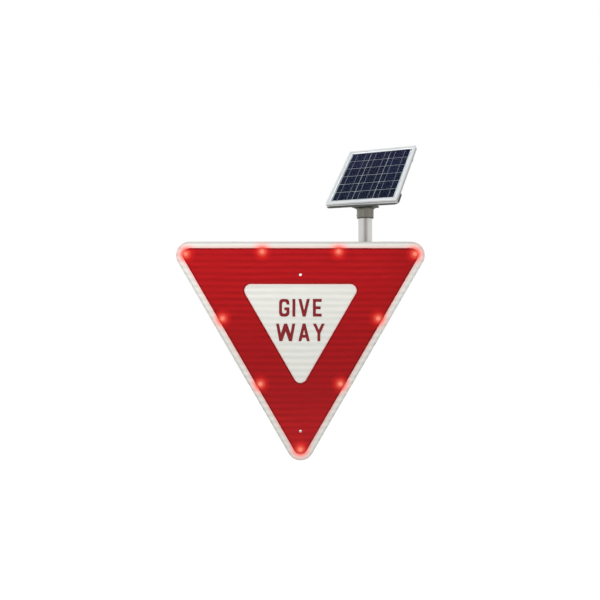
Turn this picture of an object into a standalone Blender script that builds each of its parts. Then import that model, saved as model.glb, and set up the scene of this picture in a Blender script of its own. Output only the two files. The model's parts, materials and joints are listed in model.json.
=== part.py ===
"""A solar powered flashing sign head: a rounded triangular sign on a post bar, a clamped mast,
a cast post cap and a tilting solar panel that carries its battery case.

Metres, +Z up. The sign faces -Y. The origin is the centre of the post bar's rear face, midway
between its two bolt holes, so the post that carries the sign lies against the plane Y = 0.
"""
import math

import bmesh
import bpy
from mathutils import Matrix, Vector

GAP = 0.0003

# Sign: an equilateral triangle, one corner down.
SIDE = 0.9144
SIGN_TOP = 0.3791
CORNER_RADIUS = 0.046
BLANK = (-0.0273, -0.0253)
WHITE_FILM = (-0.0281, -0.0276)
RED_FILM = (-0.0289, -0.0284)
BORDER_WIDTH = 0.0222
RED_CORNER_RADIUS = 0.025
INNER_INSET = 0.1441
INNER_CORNER_RADIUS = 0.022
POST_HOLE_RADIUS = 0.00475
POST_HOLE_HEIGHT = 0.2667
INRADIUS = SIDE * math.sqrt(3) / 6
CENTRE_HEIGHT = SIGN_TOP - INRADIUS

# Lamps
TOP_LAMP_INSET = 0.0337
SIDE_LAMP_INSET = 0.0355
TOP_LAMP_SPACING = 0.2606
SIDE_LAMP_SPACING = 0.2576
SIDE_LAMP_SHIFT = 0.006
TOP_CORNER_LAMP = (0.3907, 0.3376)
BOTTOM_LAMP_HEIGHT = -0.3287
LAMP_HOLE_RADIUS = 0.0050
LAMP_BARREL_RADIUS = 0.0047
LAMP_BARREL_END = -0.0145
LAMP_FLANGE_RADIUS = 0.0068
LAMP_FLANGE_THICKNESS = 0.0012
LAMP_LENS_RADIUS = 0.0050
LAMP_DOME_HEIGHT = 0.0030
LAMP_SIDES = 16

# Raceways: closed channels that carry the lamp wiring behind the sign's three edges.
RACEWAY_INSETS = (0.0245, 0.0515)
RACEWAY_TIP = 0.458
RACEWAY_FRONT = BLANK[1] + GAP
RACEWAY_REAR = -0.0100
RACEWAY_WALL = 0.0015
COVER_THICKNESS = 0.0012
COVER_RIB = 0.0034
MITRE_GAP = 0.00025
SIDES = (("top", 90.0), ("right", -30.0), ("left", 210.0))
WIRE_RADIUS = 0.0015
WIRE_DEPTH = -0.0125
RACEWAY_GLAND_X = 0.150

# Post bar and braces
BAR_HALF_WIDTH = 0.016
BAR_FRONT = -0.0250
BAR_SPAN = (-0.279, 0.318)
BAR_WALL = 0.0025
BRACE_HEIGHTS = (("lower", 0.190), ("upper", 0.280))
BRACE_END = 0.278
BRACE_HALF_HEIGHT = 0.016
CLEAT_LEG = 0.028
CLEAT_THICKNESS = 0.003
CLEAT_SPAN = (-0.0215, -0.0025)
PLUG_FLANGE = 0.0018
PLUG_DEPTH = 0.012

# Mast and its clamps
MAST_X = 0.2262
MAST_Y = 0.0300
MAST_RADIUS = 0.02415
MAST_WALL = 0.003
MAST_SPAN = (0.120, 0.4962)
BOLT_FLATS = 0.013
BOLT_FLANGE_RADIUS = 0.0082
BOLT_FLANGE_EDGE = 0.0014
BOLT_FLANGE_CROWN = 0.0018
BOLT_HEAD_TOP = 0.0070
NUT_TOP = 0.0080
CLAMP_BOLT_RADIUS = 0.0039
CLAMP_BOLT_LENGTH = 0.034
CLAMP_HOLE_RADIUS = 0.0043
CLAMP_BOLT_OFFSET = 0.038
CLAMP_HALF_WIDTH = 0.0475
CLAMP_HALF_HEIGHT = 0.015
SADDLE_REAR = 0.0140
STRAP_THICKNESS = 0.0045
MAST_SIDES = 48

# Post cap
PANEL_YAW = math.radians(24.8)
SOCKET_RADIUS = 0.0292
CAP_BOTTOM = 0.4648
FLARE_RADIUS = 0.010
FLANGE_HALF = (0.043, 0.029)
FLANGE_TOP = 0.5083
FLANGE_THICKNESS = 0.005
FLANGE_CORNER = 0.007
SET_SCREW_HEIGHT = 0.4765
SET_SCREW_RADIUS = 0.0035
HINGE_HEIGHT = 0.5247
LUG_HALF_WIDTH = 0.016
LUG_RADIUS = 0.010
TILT_BOLT_RADIUS = 0.0040

# Solar panel, in its own frame: X across, Y up the slope from the hinge, Z out of its face.
PANEL_TILT = math.radians(46.8)
PANEL_WIDTH = 0.2578
PANEL_HEIGHT = 0.3336
PANEL_LOW = -0.0418
FRAME_REAR = 0.014
# Section of a frame rail: distance inwards from the outer wall, and height above the frame's rear.
RAIL_SECTION = ((0, 0), (0.014, 0), (0.014, 0.0016), (0.0018, 0.0016), (0.0018, 0.0086), (0.0065, 0.0086),
                (0.0065, 0.0102), (0.0018, 0.0102), (0.0018, 0.0158), (0.0085, 0.0158), (0.0085, 0.0170),
                (0, 0.0170), (0, 0.0096), (0.0012, 0.0088), (0.0012, 0.0070), (0, 0.0062))
LAMINATE_INSET = 0.0021
BACKSHEET_LAYER = (0.0245, 0.0255)
CELL_LAYER = (0.0258, 0.0263)
GLASS_LAYER = (0.0266, 0.0295)
JUNCTION_BOX_HALF = 0.028
JUNCTION_BOX_SPAN = (0.240, 0.268)
JUNCTION_BOX_DEPTH = (0.0085, 0.0242)
CROSSBAR = (0.0107, 0.0137)
LOWER_CROSSBAR = (-0.0455, 0.020)
LOWER_CROSSBAR_HALF = 0.1325
LOWER_CROSSBAR_CORNER = 0.016
UPPER_CROSSBAR = (0.205, 0.235)
UPPER_CROSSBAR_HALF = 0.1286
EAR_INNER = 0.0164
EAR_OUTER = 0.0204
CASE_PLATE = (0.0074, 0.0104)
CASE_PLATE_HALF = 0.060
CASE_PLATE_SPAN = (-0.016, 0.232)
CASE_NOTCH = (0.034, 0.026)
CASE_HALF_WIDTH = 0.095
CASE_SPAN = (0.052, 0.198)
CASE_FRONT = 0.0071
CASE_REAR = -0.028
CASE_WALL = 0.0025
CASE_CORNER = 0.010
LID_REAR = -0.0338
FITTING_DEPTH = -0.012
GASKET_THICKNESS = 0.0012
GLAND_X = -0.050
BUTTON_X = 0.055
BUTTON_RADIUS = 0.0060
BATTERY_ACROSS = (-0.060, 0.050)
BATTERY_ALONG = (0.082, 0.168)
BATTERY_DEPTH = 0.022
BATTERY_CLEARANCE = 0.0045
BOARD_ACROSS = (0.054, 0.089)
BOARD_LAYER = (-0.0040, -0.0024)
# Centre across and along, half sizes and height of the larger parts on the control board.
BOARD_PARTS = ((0.062, 0.096, 0.006, 0.009, 0.009), (0.078, 0.100, 0.007, 0.006, 0.006),
               (0.066, 0.126, 0.008, 0.008, 0.003), (0.082, 0.150, 0.005, 0.010, 0.010),
               (0.062, 0.152, 0.005, 0.007, 0.005))


def remove_everything():
    for item in list(bpy.data.objects):
        bpy.data.objects.remove(item, do_unlink=True)


def srgb(red, green, blue):
    return tuple((value / 255.0) ** 2.2 for value in (red, green, blue))


def finish_material(name, colour, roughness, metallic, alpha=1.0):
    material = bpy.data.materials.new(name)
    material.use_nodes = True
    shader = material.node_tree.nodes["Principled BSDF"]
    shader.inputs["Base Color"].default_value = (*colour, 1.0)
    shader.inputs["Roughness"].default_value = roughness
    shader.inputs["Metallic"].default_value = metallic
    shader.inputs["Alpha"].default_value = alpha
    material.diffuse_color = (*colour, alpha)
    return material


ALUMINIUM = (srgb(190, 192, 194), 0.38, 1.0)
ANODISED = (srgb(222, 224, 226), 0.32, 1.0)
STEEL = (srgb(150, 150, 148), 0.35, 1.0)
CAST = (srgb(118, 117, 108), 0.55, 0.8)
BRACKET = (srgb(92, 92, 84), 0.5, 0.7)
RED_SHEET = (srgb(182, 28, 36), 0.3, 0.0)
WHITE_SHEET = (srgb(236, 236, 230), 0.35, 0.0)
BUTTON_RED = (srgb(150, 26, 30), 0.35, 0.0)
LAMP_RED = (srgb(250, 90, 76), 0.15, 0.0)
BLACK_PLASTIC = (srgb(34, 34, 36), 0.5, 0.0)
GREY_PLASTIC = (srgb(150, 152, 152), 0.5, 0.0)
RUBBER = (srgb(26, 26, 27), 0.8, 0.0)
CELL_BLUE = (srgb(32, 36, 66), 0.2, 0.1)
PANEL_GLASS = (srgb(225, 235, 240), 0.05, 0.0, 0.3)
BACKSHEET = (srgb(238, 240, 240), 0.5, 0.0)
BOARD_GREEN = (srgb(30, 90, 52), 0.45, 0.0)
BATTERY_WRAP = (srgb(60, 66, 80), 0.4, 0.0)
ZINC = (srgb(176, 178, 176), 0.35, 1.0)


def add_empty(name, location, rotation=(0.0, 0.0, 0.0), parent=None):
    empty = bpy.data.objects.new(name, None)
    bpy.context.scene.collection.objects.link(empty)
    empty.location = location
    empty.rotation_euler = rotation
    empty.parent = parent
    return empty


def add_object(name, mesh_builder, finish, parent=None, smooth=False):
    """A named object made from a bmesh, with a material of its own."""
    bmesh.ops.recalc_face_normals(mesh_builder, faces=mesh_builder.faces)
    mesh = bpy.data.meshes.new(name)
    mesh_builder.to_mesh(mesh)
    mesh_builder.free()
    if smooth:
        mesh.shade_smooth()
        mesh.set_sharp_from_angle(angle=math.radians(35))
    item = bpy.data.objects.new(name, mesh)
    bpy.context.scene.collection.objects.link(item)
    item.parent = parent
    if finish:
        mesh.materials.append(finish_material(name, *finish))
    return item


def add_cutter(name, mesh_builder, parent=None):
    """A hidden guide solid for Boolean modifiers."""
    item = add_object(name, mesh_builder, None, parent)
    item.hide_render = True
    item.display_type = "WIRE"
    return item


def combine(item, other, operation="DIFFERENCE"):
    modifier = item.modifiers.new(operation.lower(), "BOOLEAN")
    modifier.operation = operation
    modifier.solver = "EXACT"
    modifier.object = other


# Basic solids, each added to a bmesh

def prism(builder, outline, low, high, plane="XZ"):
    """Extrude a flat outline; plane names the two axes that the outline lies in."""
    def place(point, depth):
        if plane == "XZ":
            return (point[0], depth, point[1])
        if plane == "YZ":
            return (depth, point[0], point[1])
        return (point[0], point[1], depth)
    near = [builder.verts.new(place(point, low)) for point in outline]
    far = [builder.verts.new(place(point, high)) for point in outline]
    builder.faces.new(near)
    builder.faces.new(far)
    for index in range(len(outline)):
        after = (index + 1) % len(outline)
        builder.faces.new((near[index], near[after], far[after], far[index]))
    return builder


def box(builder, x_span, y_span, z_span):
    outline = [(x_span[0], y_span[0]), (x_span[1], y_span[0]), (x_span[1], y_span[1]), (x_span[0], y_span[1])]
    return prism(builder, outline, z_span[0], z_span[1], "XY")


def turned(builder, profile, sides, matrix=None):
    """Turn a profile of (radius, height) about Z. A third item, "hex", gives flats instead of a circle."""
    rings = []
    for radius, height, *form in profile:
        if radius == 0:
            rings.append([builder.verts.new((0, 0, height))])
            continue
        ring = []
        for index in range(sides):
            angle = 2 * math.pi * index / sides
            reach = radius
            if form:
                reach = radius / math.cos((angle + math.pi / 6) % (math.pi / 3) - math.pi / 6)
            ring.append(builder.verts.new((reach * math.cos(angle), reach * math.sin(angle), height)))
        rings.append(ring)
    pairs = list(zip(rings, rings[1:]))
    if len(rings[0]) > 1:
        pairs.append((rings[-1], rings[0]))
    for first, second in pairs:
        for index in range(sides):
            after = (index + 1) % sides
            corners = [first[index % len(first)], first[after % len(first)],
                       second[after % len(second)], second[index % len(second)]]
            builder.faces.new(list(dict.fromkeys(corners)))
    if matrix:
        bmesh.ops.transform(builder, matrix=matrix, verts=[vert for ring in rings for vert in ring])
    return builder


def toward(axis, place=(0.0, 0.0, 0.0)):
    """A matrix that carries Z onto an axis, and then the origin to a place."""
    turn = Vector((0, 0, 1)).rotation_difference(Vector(axis)).to_matrix().to_4x4()
    return Matrix.Translation(place) @ turn


def rod(builder, radius, low, high, sides, matrix=None):
    return turned(builder, [(0, low), (radius, low), (radius, high), (0, high)], sides, matrix)


def flange_bolt(radius, length, matrix):
    """A bolt with a flanged hexagon head, whose seat is at Z = 0 and whose shank goes down."""
    profile = [(0, -length), (radius, -length), (radius, 0), (BOLT_FLANGE_RADIUS, 0),
               (BOLT_FLANGE_RADIUS, BOLT_FLANGE_EDGE), (BOLT_FLATS / 2, BOLT_FLANGE_CROWN, "hex"),
               (BOLT_FLATS / 2, BOLT_HEAD_TOP, "hex"), (0, BOLT_HEAD_TOP)]
    return turned(bmesh.new(), profile, 12, matrix)


def arc(centre, radius, start, end, steps):
    """Points along a circular arc, with its angles in degrees."""
    points = []
    for step in range(steps + 1):
        angle = math.radians(start + (end - start) * step / steps)
        points.append((centre[0] + radius * math.cos(angle), centre[1] + radius * math.sin(angle)))
    return points


def rounded_rectangle(x_span, y_span, radius, steps=4):
    points = []
    corners = ((x_span[1] - radius, y_span[1] - radius), (x_span[0] + radius, y_span[1] - radius),
               (x_span[0] + radius, y_span[0] + radius), (x_span[1] - radius, y_span[0] + radius))
    for number, corner in enumerate(corners):
        points += arc(corner, radius, number * 90, number * 90 + 90, steps)
    return points


# Sign

def rounded_triangle(inset, radius, steps=8):
    """The sign's outline moved inwards, with each corner rounded."""
    points = []
    for corner in (30, 150, 270):
        reach = 2 * (INRADIUS - inset - radius)
        direction = math.radians(corner)
        centre = (reach * math.cos(direction), CENTRE_HEIGHT + reach * math.sin(direction))
        points += arc(centre, radius, corner - 60, corner + 60, steps)
    return points


def side_point(side_angle, along, inset):
    """A place beside one edge, counted from that edge's middle."""
    angle = math.radians(side_angle)
    outward = Vector((math.cos(angle), math.sin(angle)))
    upward = Vector((-outward.y, outward.x))
    place = Vector((0, CENTRE_HEIGHT)) + outward * (INRADIUS - inset) + upward * along
    return place.x, place.y


def lamp_places():
    """Nine lamps: two between the corners of each edge, and one in each corner."""
    places = [(-TOP_CORNER_LAMP[0], TOP_CORNER_LAMP[1])]
    for hand in (1, -1):
        places.append(side_point(90, hand * TOP_LAMP_SPACING / 2, TOP_LAMP_INSET))
    places.append(TOP_CORNER_LAMP)
    for hand in (1, -1):
        along = hand * SIDE_LAMP_SPACING / 2 + SIDE_LAMP_SHIFT
        across, height = side_point(-30, along, SIDE_LAMP_INSET)
        places += [(across, height), (-across, height)]
    places.append((0.0, BOTTOM_LAMP_HEIGHT))
    return places


def lamp_matrix(place):
    """Z out of the sign's face, at a lamp."""
    return toward((0, -1, 0), (place[0], 0, place[1]))


def add_face_holes():
    """Cutters for the lamp barrels and for the two post bolts."""
    builder = bmesh.new()
    for place in lamp_places():
        rod(builder, LAMP_HOLE_RADIUS, 0.020, 0.040, 16, lamp_matrix(place))
    for height in (-POST_HOLE_HEIGHT, POST_HOLE_HEIGHT):
        rod(builder, POST_HOLE_RADIUS, -0.005, 0.040, 24, lamp_matrix((0.0, height)))
    return add_cutter("face_holes", builder)


def add_sign(holes):
    blank = add_object("sign_blank", prism(bmesh.new(), rounded_triangle(0, CORNER_RADIUS, 12), *BLANK),
                       ALUMINIUM)
    combine(blank, holes)
    outline = rounded_triangle(0.0004, CORNER_RADIUS - 0.0004, 12)
    white = add_object("white_sheeting", prism(bmesh.new(), outline, *WHITE_FILM), WHITE_SHEET)
    combine(white, holes)
    outline = rounded_triangle(BORDER_WIDTH, RED_CORNER_RADIUS)
    red = add_object("red_overlay", prism(bmesh.new(), outline, *RED_FILM), RED_SHEET)
    outline = rounded_triangle(INNER_INSET, INNER_CORNER_RADIUS)
    middle = prism(bmesh.new(), outline, RED_FILM[0] - 0.001, RED_FILM[1] + 0.001)
    combine(red, add_cutter("inner_triangle", middle))
    combine(red, holes)


def add_lamps():
    """Potted lamp units: a dome, a flange on the sign's face and a barrel through to the raceway."""
    seat = -RED_FILM[0] + GAP
    face = seat + LAMP_FLANGE_THICKNESS
    dome = []
    for step in range(4):
        angle = math.radians(step * 22.5)
        dome.append((LAMP_LENS_RADIUS * math.cos(angle), face + 0.001 + LAMP_DOME_HEIGHT * math.sin(angle)))
    profile = [(0, -LAMP_BARREL_END), (LAMP_BARREL_RADIUS, -LAMP_BARREL_END), (LAMP_BARREL_RADIUS, seat),
               (LAMP_FLANGE_RADIUS, seat), (LAMP_FLANGE_RADIUS - 0.0006, face), (LAMP_LENS_RADIUS, face),
               *dome, (0, face + 0.001 + LAMP_DOME_HEIGHT)]
    for number, place in enumerate(lamp_places(), 1):
        add_object(f"lamp_{number}", turned(bmesh.new(), profile, LAMP_SIDES, lamp_matrix(place)), LAMP_RED,
                   smooth=True)


# Raceways

def clipped(outline, normal, reach):
    """The part of a convex outline that lies behind a line."""
    kept = []
    for start, end in zip(outline, outline[1:] + outline[:1]):
        first = reach - start.dot(normal)
        second = reach - end.dot(normal)
        if first >= 0:
            kept.append(start)
        if first * second < 0:
            kept.append(start.lerp(end, first / (first - second)))
    return kept


def raceway_outline(side_angle, insets, tip, mitre):
    """A strip beside one edge, mitred at both corners and cut square at their tips."""
    def heading(degrees):
        return Vector((math.cos(math.radians(degrees)), math.sin(math.radians(degrees))))
    outline = [Vector(corner) for corner in ((-1, -1), (1, -1), (1, 1), (-1, 1))]
    outward = heading(side_angle)
    outline = clipped(outline, outward, INRADIUS - insets[0])
    outline = clipped(outline, -outward, insets[1] - INRADIUS)
    for hand in (-1, 1):
        outline = clipped(outline, heading(side_angle + hand * 150), -mitre)
        outline = clipped(outline, heading(side_angle + hand * 60), tip)
    return [(point.x, point.y + CENTRE_HEIGHT) for point in outline]


def narrowed(insets, amount):
    return insets[0] + amount, insets[1] - amount


def add_raceways(holes):
    gland_place = (RACEWAY_GLAND_X, SIGN_TOP - sum(RACEWAY_INSETS) / 2)
    gland_hole = add_cutter("raceway_gland_hole",
                            rod(bmesh.new(), 0.0063, 0.004, 0.014, 16, lamp_matrix(gland_place)))
    inside = narrowed(RACEWAY_INSETS, RACEWAY_WALL)
    for side, angle in SIDES:
        outline = raceway_outline(angle, RACEWAY_INSETS, RACEWAY_TIP, MITRE_GAP)
        channel = add_object(f"raceway_channel_{side}",
                             prism(bmesh.new(), outline, RACEWAY_FRONT, RACEWAY_REAR), ALUMINIUM)
        outline = raceway_outline(angle, inside, RACEWAY_TIP - RACEWAY_WALL, -0.001)
        pocket = prism(bmesh.new(), outline, RACEWAY_FRONT + RACEWAY_WALL, RACEWAY_REAR + 0.001)
        combine(channel, add_cutter(f"raceway_pocket_{side}", pocket))
        combine(channel, holes)

        cover_front = RACEWAY_REAR + GAP
        outline = raceway_outline(angle, narrowed(RACEWAY_INSETS, 0.0004), RACEWAY_TIP - 0.0004, MITRE_GAP)
        plate = prism(bmesh.new(), outline, cover_front, cover_front + COVER_THICKNESS)
        cover = add_object(f"raceway_cover_{side}", plate, ALUMINIUM)
        ribs = narrowed(inside, GAP)
        outline = raceway_outline(angle, ribs, RACEWAY_TIP - RACEWAY_WALL - GAP, MITRE_GAP)
        rib_solid = prism(bmesh.new(), outline, cover_front - COVER_RIB, cover_front + COVER_THICKNESS / 2)
        combine(cover, add_cutter(f"cover_ribs_{side}", rib_solid), "UNION")
        outline = raceway_outline(angle, narrowed(ribs, 0.0012), RACEWAY_TIP - RACEWAY_WALL - 0.0015, -0.001)
        hollow = prism(bmesh.new(), outline, cover_front - COVER_RIB - 0.001, cover_front)
        combine(cover, add_cutter(f"cover_hollow_{side}", hollow))
        if side == "top":
            combine(cover, gland_hole)

    outside = -(RACEWAY_REAR + GAP + COVER_THICKNESS + GAP)
    profile = [(0, outside + 0.0022), (0.0058, outside + 0.0022), (0.0058, outside), (0.0095, outside, "hex"),
               (0.0095, outside - 0.0045, "hex"), (0.0082, outside - 0.0045), (0.0082, outside - 0.010),
               (0.0060, outside - 0.013), (0, outside - 0.013)]
    add_object("raceway_gland", turned(bmesh.new(), profile, 12, lamp_matrix(gland_place)),
               BLACK_PLASTIC)


def add_harness():
    """One ring of wiring that runs inside all three raceways."""
    curve = bpy.data.curves.new("lamp_harness", "CURVE")
    curve.dimensions = "3D"
    curve.bevel_depth = WIRE_RADIUS
    curve.bevel_resolution = 1
    curve.render_resolution_u = 0
    points = rounded_triangle(sum(RACEWAY_INSETS) / 2, 0.012, 4)
    spline = curve.splines.new("POLY")
    spline.points.add(len(points) - 1)
    spline.use_cyclic_u = True
    for point, (across, height) in zip(spline.points, points):
        point.co = (across, WIRE_DEPTH, height, 1.0)
    harness = bpy.data.objects.new("lamp_harness", curve)
    bpy.context.scene.collection.objects.link(harness)
    curve.materials.append(finish_material("lamp_harness", *RUBBER))


# Post bar, braces and clamps

def add_post_bar(holes):
    spans = ((-BAR_HALF_WIDTH, BAR_HALF_WIDTH), (BAR_FRONT, 0.0))
    bar = add_object("post_bar", box(bmesh.new(), *spans, BAR_SPAN), ALUMINIUM)
    hollow = [(span[0] + BAR_WALL, span[1] - BAR_WALL) for span in spans]
    pocket = box(bmesh.new(), *hollow, (BAR_SPAN[0] - 0.01, BAR_SPAN[1] + 0.01))
    combine(bar, add_cutter("post_bar_hollow", pocket))
    combine(bar, holes)
    front, rear = hollow[1][0] + GAP, hollow[1][1] - GAP
    for name, height in (("lower", -POST_HOLE_HEIGHT), ("upper", POST_HOLE_HEIGHT)):
        profile = [(POST_HOLE_RADIUS, -rear), (0.0075, -rear), (0.0075, -front), (POST_HOLE_RADIUS, -front)]
        add_object(f"{name}_bolt_sleeve", turned(bmesh.new(), profile, 24, lamp_matrix((0.0, height))), STEEL,
                   smooth=True)


def add_braces():
    clamp_holes = bmesh.new()
    for name, height in BRACE_HEIGHTS:
        for hand in (-1, 1):
            place = (MAST_X + hand * CLAMP_BOLT_OFFSET, height)
            rod(clamp_holes, CLAMP_HOLE_RADIUS, -0.030, 0.0065, 12, lamp_matrix(place))
    clamp_holes = add_cutter("clamp_bolt_holes", clamp_holes)
    for name, height in BRACE_HEIGHTS:
        heights = (height - BRACE_HALF_HEIGHT, height + BRACE_HALF_HEIGHT)
        start = BAR_HALF_WIDTH + GAP
        brace = add_object(f"{name}_brace", box(bmesh.new(), (start, BRACE_END), (BAR_FRONT, 0.0), heights),
                           ALUMINIUM)
        pocket = box(bmesh.new(), (start - 0.01, BRACE_END + 0.01), (BAR_FRONT + BAR_WALL, -BAR_WALL),
                     (heights[0] + BAR_WALL, heights[1] - BAR_WALL))
        combine(brace, add_cutter(f"{name}_brace_hollow", pocket))
        combine(brace, clamp_holes)
    return clamp_holes


def add_bar_plugs():
    """Push-in plugs for the post bar's two ends."""
    inset = BAR_WALL + GAP
    for name, end, outward in (("lower", BAR_SPAN[0], -1), ("upper", BAR_SPAN[1], 1)):
        face = end + outward * GAP
        edge = face + outward * PLUG_FLANGE
        half = BAR_HALF_WIDTH - 0.0005
        flange = box(bmesh.new(), (-half, half), (BAR_FRONT + 0.0005, -0.0005), sorted((face, edge)))
        plug = add_object(f"{name}_bar_plug", flange, BLACK_PLASTIC)
        half = BAR_HALF_WIDTH - inset
        boss = box(bmesh.new(), (-half, half), (BAR_FRONT + inset, -inset),
                   sorted(((face + edge) / 2, face - outward * 0.004)))
        combine(plug, add_cutter(f"{name}_plug_boss", boss), "UNION")


def add_cleats():
    """An angle under each brace ties it to the post bar."""
    corner = BAR_HALF_WIDTH + GAP
    for name, height in BRACE_HEIGHTS:
        face = height - BRACE_HALF_HEIGHT - GAP
        outline = [(corner, face), (corner + CLEAT_LEG, face), (corner + CLEAT_LEG, face - CLEAT_THICKNESS),
                   (corner + CLEAT_THICKNESS, face - CLEAT_THICKNESS),
                   (corner + CLEAT_THICKNESS, face - CLEAT_LEG), (corner, face - CLEAT_LEG)]
        add_object(f"{name}_brace_cleat", prism(bmesh.new(), outline, *CLEAT_SPAN), ALUMINIUM)


def add_clamps(clamp_holes):
    """A saddle in front of the mast and a strap behind it, drawn together by two bolts at each brace."""
    width = (MAST_X - CLAMP_HALF_WIDTH, MAST_X + CLAMP_HALF_WIDTH)
    ear_front = SADDLE_REAR + GAP
    ear_rear = ear_front + STRAP_THICKNESS
    bore = MAST_RADIUS + GAP
    outer = bore + STRAP_THICKNESS
    turn = math.degrees(math.asin((MAST_Y - ear_rear) / outer))
    hoop = arc((MAST_X, MAST_Y), outer, -turn, 180 + turn, 20)
    strap_outline = [(width[1], ear_front), (width[1], ear_rear), *hoop, (width[0], ear_rear),
                     (width[0], ear_front)]
    bores = add_cutter("clamp_bore", rod(bmesh.new(), bore, 0.15, 0.32, MAST_SIDES,
                                         Matrix.Translation((MAST_X, MAST_Y, 0))))
    for name, height in BRACE_HEIGHTS:
        heights = (height - CLAMP_HALF_HEIGHT, height + CLAMP_HALF_HEIGHT)
        saddle = add_object(f"{name}_mast_saddle", box(bmesh.new(), width, (GAP, SADDLE_REAR), heights), CAST)
        strap = add_object(f"{name}_mast_strap", prism(bmesh.new(), strap_outline, *heights, "XY"), CAST,
                           smooth=True)
        for clamp in (saddle, strap):
            combine(clamp, bores)
            combine(clamp, clamp_holes)
        for side, hand in (("left", -1), ("right", 1)):
            matrix = toward((0, 1, 0), (MAST_X + hand * CLAMP_BOLT_OFFSET, ear_rear + GAP, height))
            bolt = flange_bolt(CLAMP_BOLT_RADIUS, CLAMP_BOLT_LENGTH, matrix)
            add_object(f"{name}_clamp_bolt_{side}", bolt, ZINC)


def add_mast(mast_axis):
    inner = MAST_RADIUS - MAST_WALL
    low, high = MAST_SPAN
    profile = [(inner, low), (MAST_RADIUS, low), (MAST_RADIUS, high), (inner, high)]
    add_object("mast", turned(bmesh.new(), profile, MAST_SIDES), ALUMINIUM, mast_axis, smooth=True)
    face = MAST_SPAN[0] - GAP
    boss = inner - GAP
    profile = [(0, face - 0.0025), (MAST_RADIUS - 0.0006, face - 0.0025), (MAST_RADIUS, face - 0.0019),
               (MAST_RADIUS, face), (boss, face), (boss, face + PLUG_DEPTH), (0, face + PLUG_DEPTH)]
    add_object("mast_plug", turned(bmesh.new(), profile, 32), BLACK_PLASTIC, mast_axis, smooth=True)


# Post cap

def flange_ring(index, half_x, half_y, corner):
    """Point number index of 48 around a rounded rectangle, in step with a circle's points."""
    quarter, step = divmod(index, 12)
    if quarter % 2:
        half_x, half_y = half_y, half_x
    if step < 2:
        point = Vector((half_x, (half_y - corner) * step / 2))
    elif step > 10:
        point = Vector((half_x - corner, half_y)).lerp(Vector((0, half_y)), (step - 10) / 2)
    else:
        angle = math.radians((step - 2) * 90 / 8)
        bend = Vector((math.cos(angle), math.sin(angle))) * corner
        point = Vector((half_x - corner, half_y - corner)) + bend
    point.rotate(Matrix.Rotation(math.radians(90 * quarter), 2))
    return point


def cap_body(builder):
    """A round socket that flares out into a rectangular flange."""
    flare_start = FLANGE_TOP - FLANGE_THICKNESS - FLARE_RADIUS
    levels = [(CAP_BOTTOM, 0.0, SOCKET_RADIUS - 0.0008, 0.0), (CAP_BOTTOM + 0.0012, 0.0, SOCKET_RADIUS, 0.0),
              (flare_start, 0.0, SOCKET_RADIUS, 0.0)]
    for step in range(1, 6):
        angle = math.radians(18 * step)
        levels.append((flare_start + FLARE_RADIUS * math.sin(angle), 1 - math.cos(angle), SOCKET_RADIUS, 0.0))
    levels.append((FLANGE_TOP - 0.0010, 1.0, SOCKET_RADIUS, 0.0))
    levels.append((FLANGE_TOP, 1.0, SOCKET_RADIUS, 0.0010))
    rings = []
    for height, square, radius, chamfer in levels:
        ring = []
        for index in range(48):
            angle = 2 * math.pi * index / 48
            circle = Vector((radius * math.cos(angle), radius * math.sin(angle)))
            half_x, half_y = (half - chamfer for half in FLANGE_HALF)
            flange = flange_ring(index, half_x, half_y, FLANGE_CORNER - chamfer)
            point = circle.lerp(flange, square)
            ring.append(builder.verts.new((point.x, point.y, height)))
        rings.append(ring)
    for lower, upper in zip(rings, rings[1:]):
        for index in range(48):
            after = (index + 1) % 48
            builder.faces.new((lower[index], lower[after], upper[after], upper[index]))
    builder.faces.new(rings[0])
    builder.faces.new(rings[-1])
    return builder


def add_post_cap(cap_turn):
    cap = add_object("post_cap", cap_body(bmesh.new()), CAST, cap_turn, smooth=True)
    base = FLANGE_TOP - 0.001
    outline = [(-0.014, base), (0.014, base), *arc((0, HINGE_HEIGHT), LUG_RADIUS, 0, 180, 12)]
    lug = prism(bmesh.new(), outline, -LUG_HALF_WIDTH, LUG_HALF_WIDTH, "YZ")
    combine(cap, add_cutter("cap_lug", lug, cap_turn), "UNION")
    holes = rod(bmesh.new(), MAST_RADIUS + GAP, CAP_BOTTOM - 0.01, MAST_SPAN[1] + 2 * GAP, MAST_SIDES)
    combine(cap, add_cutter("cap_bore", holes, cap_turn))
    holes = rod(bmesh.new(), TILT_BOLT_RADIUS + GAP, -0.03, 0.03, 16, toward((1, 0, 0), (0, 0, HINGE_HEIGHT)))
    for axis in ((-1, 0, 0), (0, 1, 0)):
        rod(holes, SET_SCREW_RADIUS, 0.020, 0.034, 12, toward(axis, (0, 0, SET_SCREW_HEIGHT)))
    combine(cap, add_cutter("cap_cross_holes", holes, cap_turn))
    seat = EAR_OUTER + GAP
    bolt = flange_bolt(TILT_BOLT_RADIUS, 2 * seat + 0.012, toward((-1, 0, 0), (-seat, 0, HINGE_HEIGHT)))
    add_object("tilt_bolt", bolt, ZINC, cap_turn)
    bore = TILT_BOLT_RADIUS + GAP
    profile = [(bore, 0), (BOLT_FLANGE_RADIUS, 0), (BOLT_FLANGE_RADIUS, BOLT_FLANGE_EDGE),
               (BOLT_FLATS / 2, BOLT_FLANGE_CROWN, "hex"), (BOLT_FLATS / 2, NUT_TOP, "hex"), (bore, NUT_TOP)]
    nut = turned(bmesh.new(), profile, 12, toward((1, 0, 0), (seat, 0, HINGE_HEIGHT)))
    add_object("tilt_nut", nut, ZINC, cap_turn)


# Solar panel

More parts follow.
